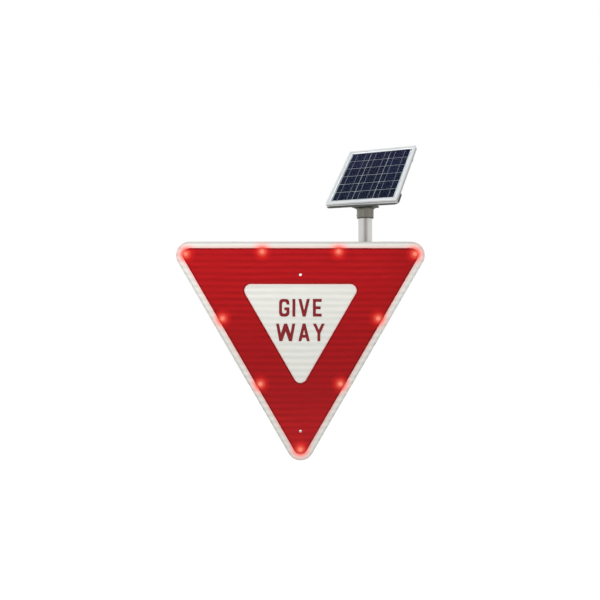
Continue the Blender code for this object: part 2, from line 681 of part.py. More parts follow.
def add_frame_rails(panel):
    middle = PANEL_LOW + PANEL_HEIGHT / 2
    rails = (("bottom", 0, PANEL_WIDTH, PANEL_HEIGHT), ("right", 90, PANEL_HEIGHT, PANEL_WIDTH),
             ("top", 180, PANEL_WIDTH, PANEL_HEIGHT), ("left", 270, PANEL_HEIGHT, PANEL_WIDTH))
    for name, turn, length, across in rails:
        builder = bmesh.new()
        ends = []
        for hand in (-1, 1):
            ring = []
            for inward, rise in RAIL_SECTION:
                reach = length / 2 - inward - MITRE_GAP
                ring.append(builder.verts.new((hand * reach, inward - across / 2, FRAME_REAR + rise)))
            builder.faces.new(ring)
            ends.append(ring)
        for index in range(len(RAIL_SECTION)):
            after = (index + 1) % len(RAIL_SECTION)
            builder.faces.new((ends[0][index], ends[0][after], ends[1][after], ends[1][index]))
        turning = Matrix.Translation((0, middle, 0)) @ Matrix.Rotation(math.radians(turn), 4, "Z")
        bmesh.ops.transform(builder, matrix=turning, verts=builder.verts)
        add_object(f"panel_rail_{name}", builder, ANODISED, panel)


def add_laminate(panel):
    across = (LAMINATE_INSET - PANEL_WIDTH / 2, PANEL_WIDTH / 2 - LAMINATE_INSET)
    along = (PANEL_LOW + LAMINATE_INSET, PANEL_LOW + PANEL_HEIGHT - LAMINATE_INSET)
    add_object("panel_backsheet", box(bmesh.new(), across, along, BACKSHEET_LAYER), BACKSHEET, panel)
    add_object("panel_glass", box(bmesh.new(), across, along, GLASS_LAYER), PANEL_GLASS, panel)
    add_object("solar_cell_sheet", box(bmesh.new(), across, along, CELL_LAYER), CELL_BLUE, panel)
    across = (-JUNCTION_BOX_HALF, JUNCTION_BOX_HALF)
    outline = rounded_rectangle(across, JUNCTION_BOX_SPAN, 0.003, 2)
    add_object("panel_junction_box", prism(bmesh.new(), outline, *JUNCTION_BOX_DEPTH, "XY"), BLACK_PLASTIC, panel)


def add_crossbars(panel):
    across = (-LOWER_CROSSBAR_HALF, LOWER_CROSSBAR_HALF)
    outline = rounded_rectangle(across, LOWER_CROSSBAR, LOWER_CROSSBAR_CORNER, 6)
    lower = add_object("lower_crossbar", prism(bmesh.new(), outline, *CROSSBAR, "XY"), BRACKET, panel)
    ears = bmesh.new()
    root = CROSSBAR[0] + 0.001
    for hand in (-1, 1):
        outline = [(0.015, root), (-0.015, root), *arc((0, 0), LUG_RADIUS, 180, 360, 12)]
        prism(ears, outline, *sorted((hand * EAR_INNER, hand * EAR_OUTER)), "YZ")
    combine(lower, add_cutter("tilt_ears", ears, panel), "UNION")
    pivot = rod(bmesh.new(), TILT_BOLT_RADIUS + GAP, -0.03, 0.03, 16, toward((1, 0, 0)))
    combine(lower, add_cutter("tilt_hole", pivot, panel))
    across = (-UPPER_CROSSBAR_HALF, UPPER_CROSSBAR_HALF)
    outline = rounded_rectangle(across, UPPER_CROSSBAR, 0.008, 4)
    add_object("upper_crossbar", prism(bmesh.new(), outline, *CROSSBAR, "XY"), BRACKET, panel)


def add_case_plate(panel):
    """The plate that joins the two crossbars and carries the case, notched around the hinge."""
    half, (notch, notch_top), (low, high) = CASE_PLATE_HALF, CASE_NOTCH, CASE_PLATE_SPAN
    outline = [(-half, low), (-notch, low), (-notch, notch_top), (notch, notch_top), (notch, low),
               (half, low), (half, high), (-half, high)]
    add_object("case_plate", prism(bmesh.new(), outline, *CASE_PLATE, "XY"), BRACKET, panel)


def case_outline(inset):
    across = (-CASE_HALF_WIDTH + inset, CASE_HALF_WIDTH - inset)
    along = (CASE_SPAN[0] + inset, CASE_SPAN[1] - inset)
    return rounded_rectangle(across, along, CASE_CORNER - inset, 3)


def cavity_outline():
    """The case's hollow, with its corners cut off to leave bosses for the lid screws."""
    half, low, high = CASE_HALF_WIDTH - CASE_WALL, CASE_SPAN[0] + CASE_WALL, CASE_SPAN[1] - CASE_WALL
    cut = 0.017
    return [(half, low + cut), (half, high - cut), (half - cut, high), (cut - half, high),
            (-half, high - cut), (-half, low + cut), (cut - half, low), (half - cut, low)]


def add_case(panel):
    case = add_object("battery_case", prism(bmesh.new(), case_outline(0), CASE_REAR, CASE_FRONT, "XY"),
                      GREY_PLASTIC, panel)
    cavity = prism(bmesh.new(), cavity_outline(), CASE_REAR - 0.001, CASE_FRONT - CASE_WALL, "XY")
    combine(case, add_cutter("case_cavity", cavity, panel))
    ports = bmesh.new()
    for across in (GLAND_X, BUTTON_X):
        matrix = toward((0, 1, 0), (across, CASE_SPAN[0], FITTING_DEPTH))
        rod(ports, BUTTON_RADIUS + GAP, -0.01, 0.01, 20, matrix)
    combine(case, add_cutter("case_ports", ports, panel))
    seal_front = CASE_REAR - GAP
    seal_rear = seal_front - GASKET_THICKNESS
    seal = prism(bmesh.new(), case_outline(0.0006), seal_rear, seal_front, "XY")
    seal = add_object("case_gasket", seal, RUBBER, panel)
    window = prism(bmesh.new(), cavity_outline(), seal_rear - 0.001, seal_front + 0.001, "XY")
    combine(seal, add_cutter("gasket_window", window, panel))
    lid = prism(bmesh.new(), case_outline(0), LID_REAR, seal_rear - GAP, "XY")
    add_object("case_lid", lid, GREY_PLASTIC, panel)


def add_case_fittings(panel):
    wall = CASE_WALL + GAP
    profile = [(0, wall + 0.006), (BUTTON_RADIUS, wall + 0.006), (BUTTON_RADIUS, -GAP), (0.0095, -GAP, "hex"),
               (0.0095, -0.0050, "hex"), (0.0082, -0.0050), (0.0082, -0.0110), (0.0060, -0.0145),
               (0, -0.0145)]
    matrix = toward((0, 1, 0), (GLAND_X, CASE_SPAN[0], FITTING_DEPTH))
    add_object("cable_gland", turned(bmesh.new(), profile, 24, matrix), BLACK_PLASTIC, panel)
    profile = [(0, wall + 0.0022), (0.008, wall + 0.0022), (0.008, wall), (BUTTON_RADIUS, wall),
               (BUTTON_RADIUS, -0.0046), (BUTTON_RADIUS - 0.0008, -0.0054), (0, -0.0054)]
    turn = (-math.pi / 2, 0, 0)
    button_axis = add_empty("button_axis", (BUTTON_X, CASE_SPAN[0], FITTING_DEPTH), turn, panel)
    add_object("power_button", turned(bmesh.new(), profile, 20), BUTTON_RED, button_axis, smooth=True)


def add_electronics(panel):
    battery_top = CASE_FRONT - CASE_WALL - GAP - BATTERY_CLEARANCE
    outline = rounded_rectangle(BATTERY_ACROSS, BATTERY_ALONG, 0.004, 3)
    pack = prism(bmesh.new(), outline, battery_top - BATTERY_DEPTH, battery_top, "XY")
    add_object("battery_pack", pack, BATTERY_WRAP, panel)
    board = box(bmesh.new(), BOARD_ACROSS, BATTERY_ALONG, BOARD_LAYER)
    board = add_object("control_board", board, BOARD_GREEN, panel)
    parts = bmesh.new()
    rear, front = BOARD_LAYER
    for across, height, half_x, half_y, tall in BOARD_PARTS:
        box(parts, (across - half_x, across + half_x), (height - half_y, height + half_y),
            (rear - tall, (rear + front) / 2))
    combine(board, add_cutter("board_parts", parts, panel), "UNION")


def build():
    remove_everything()
    holes = add_face_holes()
    add_sign(holes)
    add_lamps()
    add_raceways(holes)
    add_harness()
    add_post_bar(holes)
    clamp_holes = add_braces()
    add_bar_plugs()
    add_cleats()
    add_clamps(clamp_holes)
    mast_axis = add_empty("mast_axis", (MAST_X, MAST_Y, 0))
    add_mast(mast_axis)
    cap_turn = add_empty("cap_turn", (0, 0, 0), (0, 0, -PANEL_YAW), mast_axis)
    add_post_cap(cap_turn)
    panel = add_empty("panel_tilt", (0, 0, HINGE_HEIGHT), (math.pi / 2 - PANEL_TILT, 0, 0), cap_turn)
    add_frame_rails(panel)
    add_laminate(panel)
    add_crossbars(panel)
    add_case_plate(panel)
    add_case(panel)
    add_case_fittings(panel)
    add_electronics(panel)


build()
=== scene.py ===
"""Looks for the solar powered flashing sign head: finer meshes, fastenings and finishes."""
import json
import math

import bmesh
import bpy
from mathutils import Matrix, Vector

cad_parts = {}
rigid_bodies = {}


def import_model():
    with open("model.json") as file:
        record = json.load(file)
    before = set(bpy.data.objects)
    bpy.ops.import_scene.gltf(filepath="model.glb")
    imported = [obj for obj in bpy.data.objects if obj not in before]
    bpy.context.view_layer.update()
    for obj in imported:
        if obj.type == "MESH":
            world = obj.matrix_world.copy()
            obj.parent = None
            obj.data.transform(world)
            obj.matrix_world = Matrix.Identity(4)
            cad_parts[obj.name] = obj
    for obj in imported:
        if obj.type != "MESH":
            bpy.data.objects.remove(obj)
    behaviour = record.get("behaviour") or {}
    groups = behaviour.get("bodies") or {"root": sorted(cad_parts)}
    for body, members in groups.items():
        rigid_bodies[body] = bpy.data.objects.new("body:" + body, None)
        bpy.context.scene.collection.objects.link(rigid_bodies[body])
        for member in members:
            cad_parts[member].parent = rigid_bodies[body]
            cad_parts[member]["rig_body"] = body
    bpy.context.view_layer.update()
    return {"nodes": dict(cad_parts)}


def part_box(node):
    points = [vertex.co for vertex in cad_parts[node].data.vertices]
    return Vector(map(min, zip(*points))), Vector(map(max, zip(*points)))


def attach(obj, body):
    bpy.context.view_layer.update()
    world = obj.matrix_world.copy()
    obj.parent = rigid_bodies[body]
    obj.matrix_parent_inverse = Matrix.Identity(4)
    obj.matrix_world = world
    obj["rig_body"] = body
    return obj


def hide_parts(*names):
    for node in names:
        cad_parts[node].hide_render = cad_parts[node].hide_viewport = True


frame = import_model()

# Frames that the assembly is set out in
MAST_X, MAST_Y = 0.2262, 0.0300
HINGE_HEIGHT = 0.5247
PANEL_YAW = math.radians(24.8)
PANEL_TILT = math.radians(46.8)
WORLD = Matrix.Identity(4)
TURNED = Matrix.Translation((MAST_X, MAST_Y, 0.0)) @ Matrix.Rotation(-PANEL_YAW, 4, "Z")
PANEL = TURNED @ Matrix.Translation((0, 0, HINGE_HEIGHT)) @ Matrix.Rotation(math.pi / 2 - PANEL_TILT, 4, "X")
UPRIGHT = PANEL @ Matrix.Rotation(math.pi / 2, 4, "Z")

# Sizes repeated from the part
SIDE = 0.9144
SIGN_TOP = 0.3791
INRADIUS = SIDE * math.sqrt(3) / 6
CENTRE_HEIGHT = SIGN_TOP - INRADIUS
CORNER_RADIUS = 0.046
RED_INSET, RED_RADIUS = 0.0222, 0.025
INNER_INSET, INNER_RADIUS = 0.1441, 0.022
RED_FILM = (-0.0289, -0.0284)
RACEWAY_MIDDLE = 0.038
RACEWAY_COVER = -0.0085
BAR_HALF = 0.016
BAR_FRONT = -0.025
RACEWAY_GLAND_X = 0.150
BRACES = (("lower", 0.190), ("upper", 0.280))
BRACE_END = 0.278
MAST_RADIUS = 0.02415
MAST_WALL = 0.003
MAST_SPAN = (0.120, 0.4962)
CLAMP_OFFSET = 0.038
EAR_REAR = 0.0188
SET_SCREW_HEIGHT = 0.4765
SOCKET_RADIUS = 0.0292
CAP_BOTTOM = 0.4648
FLANGE_BASE = 0.5033
TILT_SEAT = 0.0207
PANEL_HALF = 0.1289
PANEL_SPAN = (-0.0418, 0.2918)
LIP = 0.0085
CROSSBAR_BACK = 0.0107
PLATE_BACK, PLATE_FRONT = 0.0074, 0.0104
CELL_LEVEL = 0.0258
CELL_MARGIN = 0.0179
CELL_FOOT = 0.0200
COLUMN_GAP, ROW_GAP = 0.0016, 0.0021
CELL_WIDE = (2 * (PANEL_HALF - CELL_MARGIN) - 2 * COLUMN_GAP) / 3
CELL_TALL = (PANEL_SPAN[1] - PANEL_SPAN[0] - CELL_FOOT - CELL_MARGIN - 5 * ROW_GAP) / 6
CASE_LOW = 0.052
FITTING_DEPTH = -0.012
LID_FACE = -0.0338
GLAND_X = -0.050
BUTTON_X = 0.055
GAP = 0.0003
FLOOR = -1.10

# Screw heads: radius and height. Bolt heads: size across flats, height and flange radius.
RACEWAY_SCREW = (0.0034, 0.0019)
CLEAT_SCREW = (0.0032, 0.0020)
FRAME_SCREW = (0.0017, 0.0009)
CASE_SCREW = (0.0045, 0.0028)
LID_SCREW = (0.0038, 0.0022)
MAIN_BOLT = (0.0130, 0.0072, 0.0082)
CROSSBAR_BOLT = (0.0070, 0.0042, 0.0048)
PLATE_BOLT = (0.0080, 0.0048, 0.0056)


def linear(red, green, blue):
    def one(value):
        value /= 255.0
        return value / 12.92 if value <= 0.04045 else ((value + 0.055) / 1.055) ** 2.4
    return one(red), one(green), one(blue), 1.0


# Finishes

finishes = {}


class Nodes:
    """A node tree that takes nodes one call at a time. An input is a value or another node's output."""

    def __init__(self, tree):
        self.tree = tree

    def node(self, kind, inputs=None, **settings):
        made = self.tree.nodes.new(kind)
        for name, value in settings.items():
            setattr(made, name, value)
        for socket, value in (inputs or {}).items():
            if isinstance(value, bpy.types.NodeSocket):
                self.tree.links.new(value, made.inputs[socket])
            else:
                made.inputs[socket].default_value = value
        return made

    def math(self, operation, first, second=0.0, clamp=False):
        made = self.node("ShaderNodeMath", {0: first, 1: second}, operation=operation, use_clamp=clamp)
        return made.outputs[0]

    def plus(self, first, second, clamp=False):
        return self.math("ADD", first, second, clamp)

    def less(self, first, second):
        return self.math("SUBTRACT", first, second)

    def times(self, first, second, clamp=False):
        return self.math("MULTIPLY", first, second, clamp)

    def span(self, value, low, high, to_low=0.0, to_high=1.0, smooth=False):
        inputs = {"Value": value, "From Min": low, "From Max": high, "To Min": to_low, "To Max": to_high}
        kind = "SMOOTHSTEP" if smooth else "LINEAR"
        return self.node("ShaderNodeMapRange", inputs, interpolation_type=kind).outputs[0]

    def grey(self, value):
        return self.node("ShaderNodeCombineXYZ", {0: value, 1: value, 2: value}).outputs[0]

    def blend(self, factor, first, second):
        """A mix of two shaders, shown as the surface."""
        mixed = self.node("ShaderNodeMixShader", {0: factor, 1: first, 2: second}).outputs[0]
        output = next(node for node in self.tree.nodes if node.bl_idname.startswith("ShaderNodeOutput"))
        self.tree.links.new(mixed, output.inputs["Surface"])


class Finish(Nodes):
    """A Principled material whose colour, roughness and bump come from nodes on object coordinates."""

    def __init__(self, name, **values):
        self.material = finishes[name] = bpy.data.materials.new(name)
        self.material.use_nodes = True
        super().__init__(self.material.node_tree)
        self.shader = self.tree.nodes["Principled BSDF"]
        self.places = self.node("ShaderNodeTexCoord").outputs["Object"]
        for socket, value in values.items():
            self.shader.inputs[socket.replace("_", " ")].default_value = value

    def noise(self, scale, detail, roughness, stretch=(1, 1, 1), distortion=0.0):
        scaled = self.node("ShaderNodeMapping", {"Vector": self.places, "Scale": stretch}).outputs[0]
        inputs = {"Vector": scaled, "Scale": scale, "Detail": detail, "Roughness": roughness,
                  "Distortion": distortion}
        return self.node("ShaderNodeTexNoise", inputs).outputs["Fac"]

    def cells(self, scale, output="Distance", feature="F1", randomness=1.0):
        inputs = {"Vector": self.places, "Scale": scale, "Randomness": randomness}
        return self.node("ShaderNodeTexVoronoi", inputs, feature=feature).outputs[output]

    def distance(self, place):
        ends = {0: self.places, 1: place}
        return self.node("ShaderNodeVectorMath", ends, operation="DISTANCE").outputs["Value"]

    def axis(self, name):
        return self.node("ShaderNodeSeparateXYZ", {0: self.places}).outputs[name]

    def mix(self, factor, first, second, blend="MIX"):
        inputs = {0: factor, 6: first, 7: second}
        return self.node("ShaderNodeMix", inputs, data_type="RGBA", blend_type=blend).outputs[2]

    def shade(self, colour, value):
        """A colour made lighter or darker by a number."""
        return self.mix(1.0, colour, self.grey(value), "MULTIPLY")

    def set(self, socket, value):
        self.tree.links.new(value, self.shader.inputs[socket])

    def paint(self, colour, value):
        self.set("Base Color", self.shade(colour, value))

    def rough(self, *span):
        self.set("Roughness", self.span(*span))

    def glow(self, colour, strength=1.0):
        self.set("Emission Color", colour)
        self.shader.inputs["Emission Strength"].default_value = strength

    def bump(self, height, distance, strength=1.0, under=None):
        inputs = {"Height": height, "Distance": distance, "Strength": strength}
        if under:
            inputs["Normal"] = under
        made = self.node("ShaderNodeBump", inputs).outputs[0]
        self.set("Normal", made)
        return made


def brushed(name, colour, stretch, rough=(0.30, 0.44), spread=0.10, painted_shade_spans=()):
    """Extruded or drawn metal: fine lines along one axis, faint handling marks and painted shade in spans of
    height.
    """
    made = Finish(name, Metallic=1.0)
    lines = made.noise(900.0, 4.0, 0.7, stretch)
    broad = made.noise(14.0, 4.0, 0.6)
    die = made.noise(160.0, 2.0, 0.5, stretch)
    level = made.plus(made.span(lines, 0.3, 0.7, 1 - spread, 1.0),
                      made.span(broad, 0.3, 0.7, -0.05, 0.03))
    # Each span is painted shade: the colour fades from the unshaded height to the shaded height, to that
    # level.
    for unshaded_height, shaded_height, shade_level in painted_shade_spans:
        level = made.times(level, made.span(made.axis("Z"), unshaded_height, shaded_height, 1.0, shade_level, True))
    made.paint(colour, level)
    wear = made.plus(made.span(lines, 0.3, 0.7, *rough), made.span(broad, 0.35, 0.65, -0.04, 0.05))
    made.set("Roughness", wear)
    under = made.bump(lines, 0.00004, 0.35)
    made.bump(die, 0.00008, 0.35, under)


def cast(name, colour, grain=0.00022, painted_shade_heights=()):
    """Sand cast alloy with a tumbled grain, run marks and painted shade in spans of height: unshaded height,
    shaded height, level.
    """
    made = Finish(name, Metallic=0.85)
    coarse = made.noise(420.0, 4.0, 0.65)
    pits = made.cells(900.0)
    stain = made.noise(38.0, 5.0, 0.65, (1, 1, 0.5), 0.6)
    runs = made.noise(85.0, 3.0, 0.5, (1, 1, 0.04))
    level = made.plus(made.span(coarse, 0.3, 0.7, 0.84, 1.06), made.span(stain, 0.35, 0.7, -0.12, 0.06))
    level = made.plus(level, made.span(runs, 0.35, 0.65, -0.16, 0.14))
    # Each span is painted shade, fading from the unshaded height to the shaded height.
    for unshaded_height, shaded_height, shade_level in painted_shade_heights:
        level = made.times(level, made.span(made.axis("Z"), unshaded_height, shaded_height, 1.0, shade_level, True))
    made.paint(colour, level)
    made.set("Roughness", made.plus(made.span(coarse, 0.3, 0.7, 0.46, 0.60),
                                    made.span(stain, 0.4, 0.7, -0.05, 0.06)))
    under = made.bump(coarse, grain, 0.7)
    made.bump(pits, grain * 0.5, 0.4, under)


def painted(name, colour):
    """Powder coat with an orange peel surface and a little dust."""
    made = Finish(name, Coat_Weight=0.15, Coat_Roughness=0.3)
    skin = made.noise(650.0, 2.0, 0.5)
    cloud = made.noise(30.0, 5.0, 0.65)
    speck = made.cells(1500.0)
    level = made.plus(made.span(cloud, 0.3, 0.7, 0.93, 1.05), made.span(speck, 0.0, 0.25, 0.10, 0.0))
    made.paint(colour, level)
    made.rough(cloud, 0.3, 0.7, 0.34, 0.46)
    made.bump(skin, 0.00008, 0.6)


def moulded(name, colour, rough=(0.42, 0.56), grain=0.00006):
    """Moulded plastic with a fine spark eroded grain."""
    made = Finish(name, Specular_IOR_Level=0.45)
    leather = made.cells(1400.0, feature="SMOOTH_F1")
    cloud = made.noise(22.0, 4.0, 0.6)
    made.paint(colour, made.span(cloud, 0.3, 0.7, 0.93, 1.05))
    made.rough(cloud, 0.3, 0.7, *rough)
    made.bump(leather, grain, 0.6)


def plated(name, colour):
    """Bright zinc plated steel with a mottled passivation."""
    made = Finish(name, Metallic=1.0)
    cloud = made.noise(120.0, 4.0, 0.65, distortion=0.5)
    fine = made.noise(1600.0, 2.0, 0.5)
    tint = made.mix(made.span(cloud, 0.4, 0.75), colour, linear(176, 172, 150))
    made.paint(tint, made.span(fine, 0.3, 0.7, 0.9, 1.04))
    made.rough(cloud, 0.3, 0.7, 0.26, 0.42)
    made.bump(fine, 0.00003, 0.5)


def lamp_distance(made):
    """How far a point lies from the nearest lamp on the sign's face."""
    nearest = None
    for number in range(1, 10):
        low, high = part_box(f"lamp_{number}")
        middle = ((low.x + high.x) / 2, RED_FILM[0], (low.z + high.z) / 2)
        away = made.distance(middle)
        nearest = away if nearest is None else made.math("MINIMUM", nearest, away)
    return nearest


def inset_from(made, inset, radius):
    """How far a point lies inside a rounded triangle that is inset from the sign's outline."""
    x, z = made.axis("X"), made.axis("Z")
    z = made.less(z, CENTRE_HEIGHT)
    reach = INRADIUS - inset
    inside = None
    for degrees in (90, 210, 330):
        angle = math.radians(degrees)
        along = made.plus(made.times(x, math.cos(angle)), made.times(z, math.sin(angle)))
        room = made.less(reach, along)
        inside = room if inside is None else made.math("MINIMUM", inside, room)
    for degrees in (30, 150, 270):
        angle = math.radians(degrees)
        centre = 2 * (reach - radius)
        dx = made.less(x, centre * math.cos(angle))
        dz = made.less(z, centre * math.sin(angle))
        away = made.math("SQRT", made.plus(made.times(dx, dx), made.times(dz, dz)))
        ahead = made.plus(made.times(dx, math.cos(angle)), made.times(dz, math.sin(angle)))
        wedge = made.math("GREATER_THAN", ahead, made.times(away, 0.5))
        bend = made.less(made.less(radius, away), inside)
        inside = made.plus(inside, made.times(wedge, bend))
    return inside


def roll_bands(made, band):
    """The film's level bands, its mottle and the grid of its prisms, as a brightness near one."""
    height = made.axis("Z")
    drift = made.noise(2.6, 2.0, 0.5)
    wave = made.plus(made.times(height, math.tau / 0.0218), made.times(drift, 5.0))
    wave = made.math("SINE", wave)
    strength = made.span(made.noise(7.0, 2.0, 0.5, (0.6, 1.0, 1.0)), 0.3, 0.7, band * 0.45, band * 1.25)
    mottle = made.noise(46.0, 4.0, 0.6, (0.35, 1.0, 1.8))
    prism = made.cells(620.0, randomness=0.15)
    level = made.plus(made.times(wave, strength), made.span(mottle, 0.3, 0.7, 1 - band * 0.5, 1 + band * 0.5))
    level = made.plus(level, made.span(prism, 0.0, 0.6, band * 0.2, -band * 0.2))
    made.rough(mottle, 0.3, 0.7, 0.34, 0.44)
    made.bump(prism, 0.00003, 0.35)
    return level


def white_sheeting(name):
    """White prismatic film, greyer at its cut edge, blushed beside the red film, with a painted glow around
    the lamps and painted shade towards its bottom.
    """
    made = Finish(name, Specular_IOR_Level=0.12)
    # Painted shade: the white film is darker towards the bottom of the sign.
    level = made.times(roll_bands(made, 0.062), made.span(made.axis("Z"), 0.0, 0.24, 0.93, 1.0, True))
    rim = made.span(inset_from(made, 0.0, CORNER_RADIUS), 0.0015, 0.0115, -0.20, 0.0, True)
    red_side = inset_from(made, RED_INSET, RED_RADIUS)
    pink_and_lamp_glow = made.span(red_side, -0.014, 0.001, 0.0, 0.32, True)
    inner = made.span(inset_from(made, INNER_INSET, INNER_RADIUS), 0.0005, 0.0065, 0.26, 0.0, True)
    on_field = made.math("GREATER_THAN", red_side, 0.02)
    pink_and_lamp_glow = made.plus(made.times(pink_and_lamp_glow, made.less(1.0, on_field)), made.times(inner, on_field))
    # Painted glow of the lamps: a pink tint and an emission that fade with distance from each lamp.
    away = lamp_distance(made)
    lit = made.times(made.math("POWER", made.span(away, 0.0, 0.052, 1.0, 0.0), 2.3), 1.5, True)
    pink_and_lamp_glow = made.plus(pink_and_lamp_glow, lit, True)
    tint = made.mix(pink_and_lamp_glow, linear(225, 225, 219), (1.0, 0.12, 0.10, 1.0))
    made.paint(tint, made.plus(level, rim))
    made.glow(made.mix(lit, (0, 0, 0, 1), (0.34, 0.03, 0.02, 1)))


def red_sheeting(name):
    """Transparent red film with painted shade across its middle and at its right, darker at its cut edges and
    with a painted glow round the lamps.
    """
    made = Finish(name, Specular_IOR_Level=0.12)
    height = made.axis("Z")
    # Painted shade: the red film is darker below its top and towards its right corner, and lighter again at
    # its bottom tip.
    painted_shade = made.plus(made.span(height, -0.02, 0.33, 0.80, 1.0, True),
                     made.span(height, -0.27, -0.13, 0.17, 0.0, True))
    painted_shade = made.times(painted_shade, made.span(made.axis("X"), 0.25, 0.40, 1.0, 0.86, True))
    level = made.times(roll_bands(made, 0.115), painted_shade)
    outer = inset_from(made, RED_INSET, RED_RADIUS)
    inner = made.times(inset_from(made, INNER_INSET, INNER_RADIUS), -1.0)
    edge = made.span(made.math("MINIMUM", outer, inner), 0.0008, 0.0072, -0.36, 0.0, True)
    made.paint((0.405, 0.0078, 0.0104, 1.0), made.plus(level, edge))
    # Painted glow of the lamps on the red film, as emission.
    away = lamp_distance(made)
    wide = made.math("POWER", made.span(away, 0.0, 0.037, 1.0, 0.0), 1.3)
    near = made.math("POWER", made.span(away, 0.0, 0.022, 1.0, 0.0), 1.6)
    green = made.plus(made.times(near, 0.21), made.times(wide, 0.014))
    blue = made.plus(made.times(near, 0.125), made.times(wide, 0.009))
    made.glow(made.node("ShaderNodeCombineColor", {0: made.times(wide, 0.56), 1: green, 2: blue}).outputs[0])


def lens(name):
    """A lit red lens, brightest at its crown."""
    made = Finish(name, Roughness=0.12, Specular_IOR_Level=0.3)
    away = lamp_distance(made)
    hot = made.span(away, 0.0040, 0.0078, 1.0, 0.0, True)
    fine = made.noise(900.0, 2.0, 0.5)
    made.paint(linear(214, 44, 36), made.span(fine, 0.3, 0.7, 0.95, 1.05))
    made.glow(made.mix(hot, linear(244, 92, 72), linear(255, 156, 132)), 0.92)
    made.bump(fine, 0.00003, 0.3)


def photovoltaic(name):
    """Dark blue silicon with faint crystal grains, a tint of its own on each cell, fine silver fingers and a
    painted sky reflection that turns the cells bluer towards the panel's top.
    """
    made = Finish(name, Specular_IOR_Level=0.01)
    across, along = made.axis("X"), made.axis("Y")
    column = made.math("DIVIDE", made.plus(across, PANEL_HALF - CELL_MARGIN), CELL_WIDE + COLUMN_GAP)
    column = made.math("FLOOR", column)
    row = made.math("DIVIDE", made.less(along, PANEL_SPAN[0] + CELL_FOOT), CELL_TALL + ROW_GAP)
    row = made.math("FLOOR", row)
    corner = made.node("ShaderNodeCombineXYZ", {0: column, 1: row}).outputs[0]
    own = made.node("ShaderNodeTexWhiteNoise", {0: corner}, noise_dimensions="3D").outputs["Value"]
    grain = made.cells(210.0, "Color")
    grain = made.node("ShaderNodeSeparateColor", {0: grain}).outputs[0]
    # Painted sky reflection: the cells turn lighter and bluer towards the top of the panel.
    sky_reflection = made.span(along, PANEL_SPAN[0], PANEL_SPAN[1], 0.0, 1.0)
    tint = made.mix(own, linear(9, 17, 34), linear(16, 23, 46))
    tint = made.mix(made.times(sky_reflection, 0.5), tint, linear(23, 23, 60))
    tint = made.shade(tint, made.span(grain, 0.0, 1.0, 0.90, 1.10))
    finger = made.math("FRACT", made.math("DIVIDE", along, 0.00225))
    finger = made.math("LESS_THAN", finger, 0.055)
    made.set("Base Color", made.mix(made.times(finger, 0.07), tint, linear(120, 124, 138)))
    made.rough(grain, 0.0, 1.0, 0.24, 0.36)
    made.bump(made.noise(120.0, 2.0, 0.5), 0.00003, 0.3)


def clear_glass(name):
    """Low iron tempered glass that lets lamps through to the cells."""
    made = Finish(name, Roughness=0.04, IOR=1.05, Transmission_Weight=1.0, Specular_IOR_Level=0.3)
    wave = made.noise(60.0, 2.0, 0.5)
    film = made.noise(16.0, 4.0, 0.6)
    made.paint(linear(250, 253, 252), made.span(film, 0.3, 0.7, 0.97, 1.0))
    made.rough(film, 0.3, 0.7, 0.03, 0.10)
    made.bump(wave, 0.00004, 0.25)
    open_way = made.node("ShaderNodeBsdfTransparent", {0: (0.93, 0.95, 0.95, 1.0)}).outputs[0]
    shadow = made.node("ShaderNodeLightPath").outputs["Is Shadow Ray"]
    made.blend(shadow, made.shader.outputs[0], open_way)


def rubber(name, colour):
    made = Finish(name, Specular_IOR_Level=0.3)
    bloom = made.noise(60.0, 5.0, 0.65)
    fine = made.noise(1500.0, 2.0, 0.5)
    made.set("Base Color", made.mix(made.span(bloom, 0.4, 0.8, 0.0, 0.35), colour, linear(70, 70, 72)))
    made.rough(bloom, 0.3, 0.7, 0.68, 0.86)
    made.bump(fine, 0.00006, 0.5)


def circuit(name):
    made = Finish(name, Coat_Weight=0.4, Coat_Roughness=0.2)
    track = made.cells(260.0, feature="DISTANCE_TO_EDGE", randomness=0.6)
    line = made.span(track, 0.05, 0.09, 1.0, 0.0)
    part = made.span(made.axis("Z"), -0.0052, -0.0044, 1.0, 0.0)
    board = made.mix(made.times(line, 0.5), linear(24, 84, 48), linear(60, 128, 74))
    made.set("Base Color", made.mix(part, board, linear(38, 38, 40)))
    made.rough(track, 0.0, 0.3, 0.36, 0.5)
    made.bump(line, 0.00005, 0.5)


def wrapped(name, colour):
    """Heat shrink film over a battery pack, with shallow lengthways creases."""
    made = Finish(name, Coat_Weight=0.3, Coat_Roughness=0.25)
    crease = made.noise(90.0, 3.0, 0.6, (0.25, 1, 1), 0.8)
    made.paint(colour, made.span(crease, 0.3, 0.7, 0.9, 1.08))
    made.rough(crease, 0.3, 0.7, 0.28, 0.42)
    made.bump(crease, 0.0004, 0.5)


def inked(name, colour):
    made = Finish(name, Specular_IOR_Level=0.35, Coat_Weight=0.25, Coat_Roughness=0.18)
    mottle = made.noise(42.0, 4.0, 0.6, (0.5, 1.0, 1.6))
    prism = made.cells(620.0, randomness=0.15)
    made.paint(colour, made.span(mottle, 0.3, 0.7, 0.92, 1.06))
    made.rough(mottle, 0.3, 0.7, 0.30, 0.40)
    made.bump(prism, 0.00003, 0.35)


ALUMINIUM = linear(188, 190, 192)
brushed("level_aluminium", ALUMINIUM, (0.02, 1, 1))
brushed("upright_aluminium", ALUMINIUM, (1, 1, 0.02))
brushed("mast_finish", linear(220, 218, 215), (1, 1, 0.015), (0.30, 0.40), 0.07)
# The rails take painted shade: darker below the lip, darkest in the groove band, and less dark below it.
brushed("anodised", linear(236, 238, 240), (0.02, 1, 1), (0.30, 0.40), 0.06,
        ((0.0306, 0.0300, 0.70), (0.0230, 0.0222, 0.52), (0.0206, 0.0198, 1.80)))
cast("cast_alloy", linear(146, 145, 138))
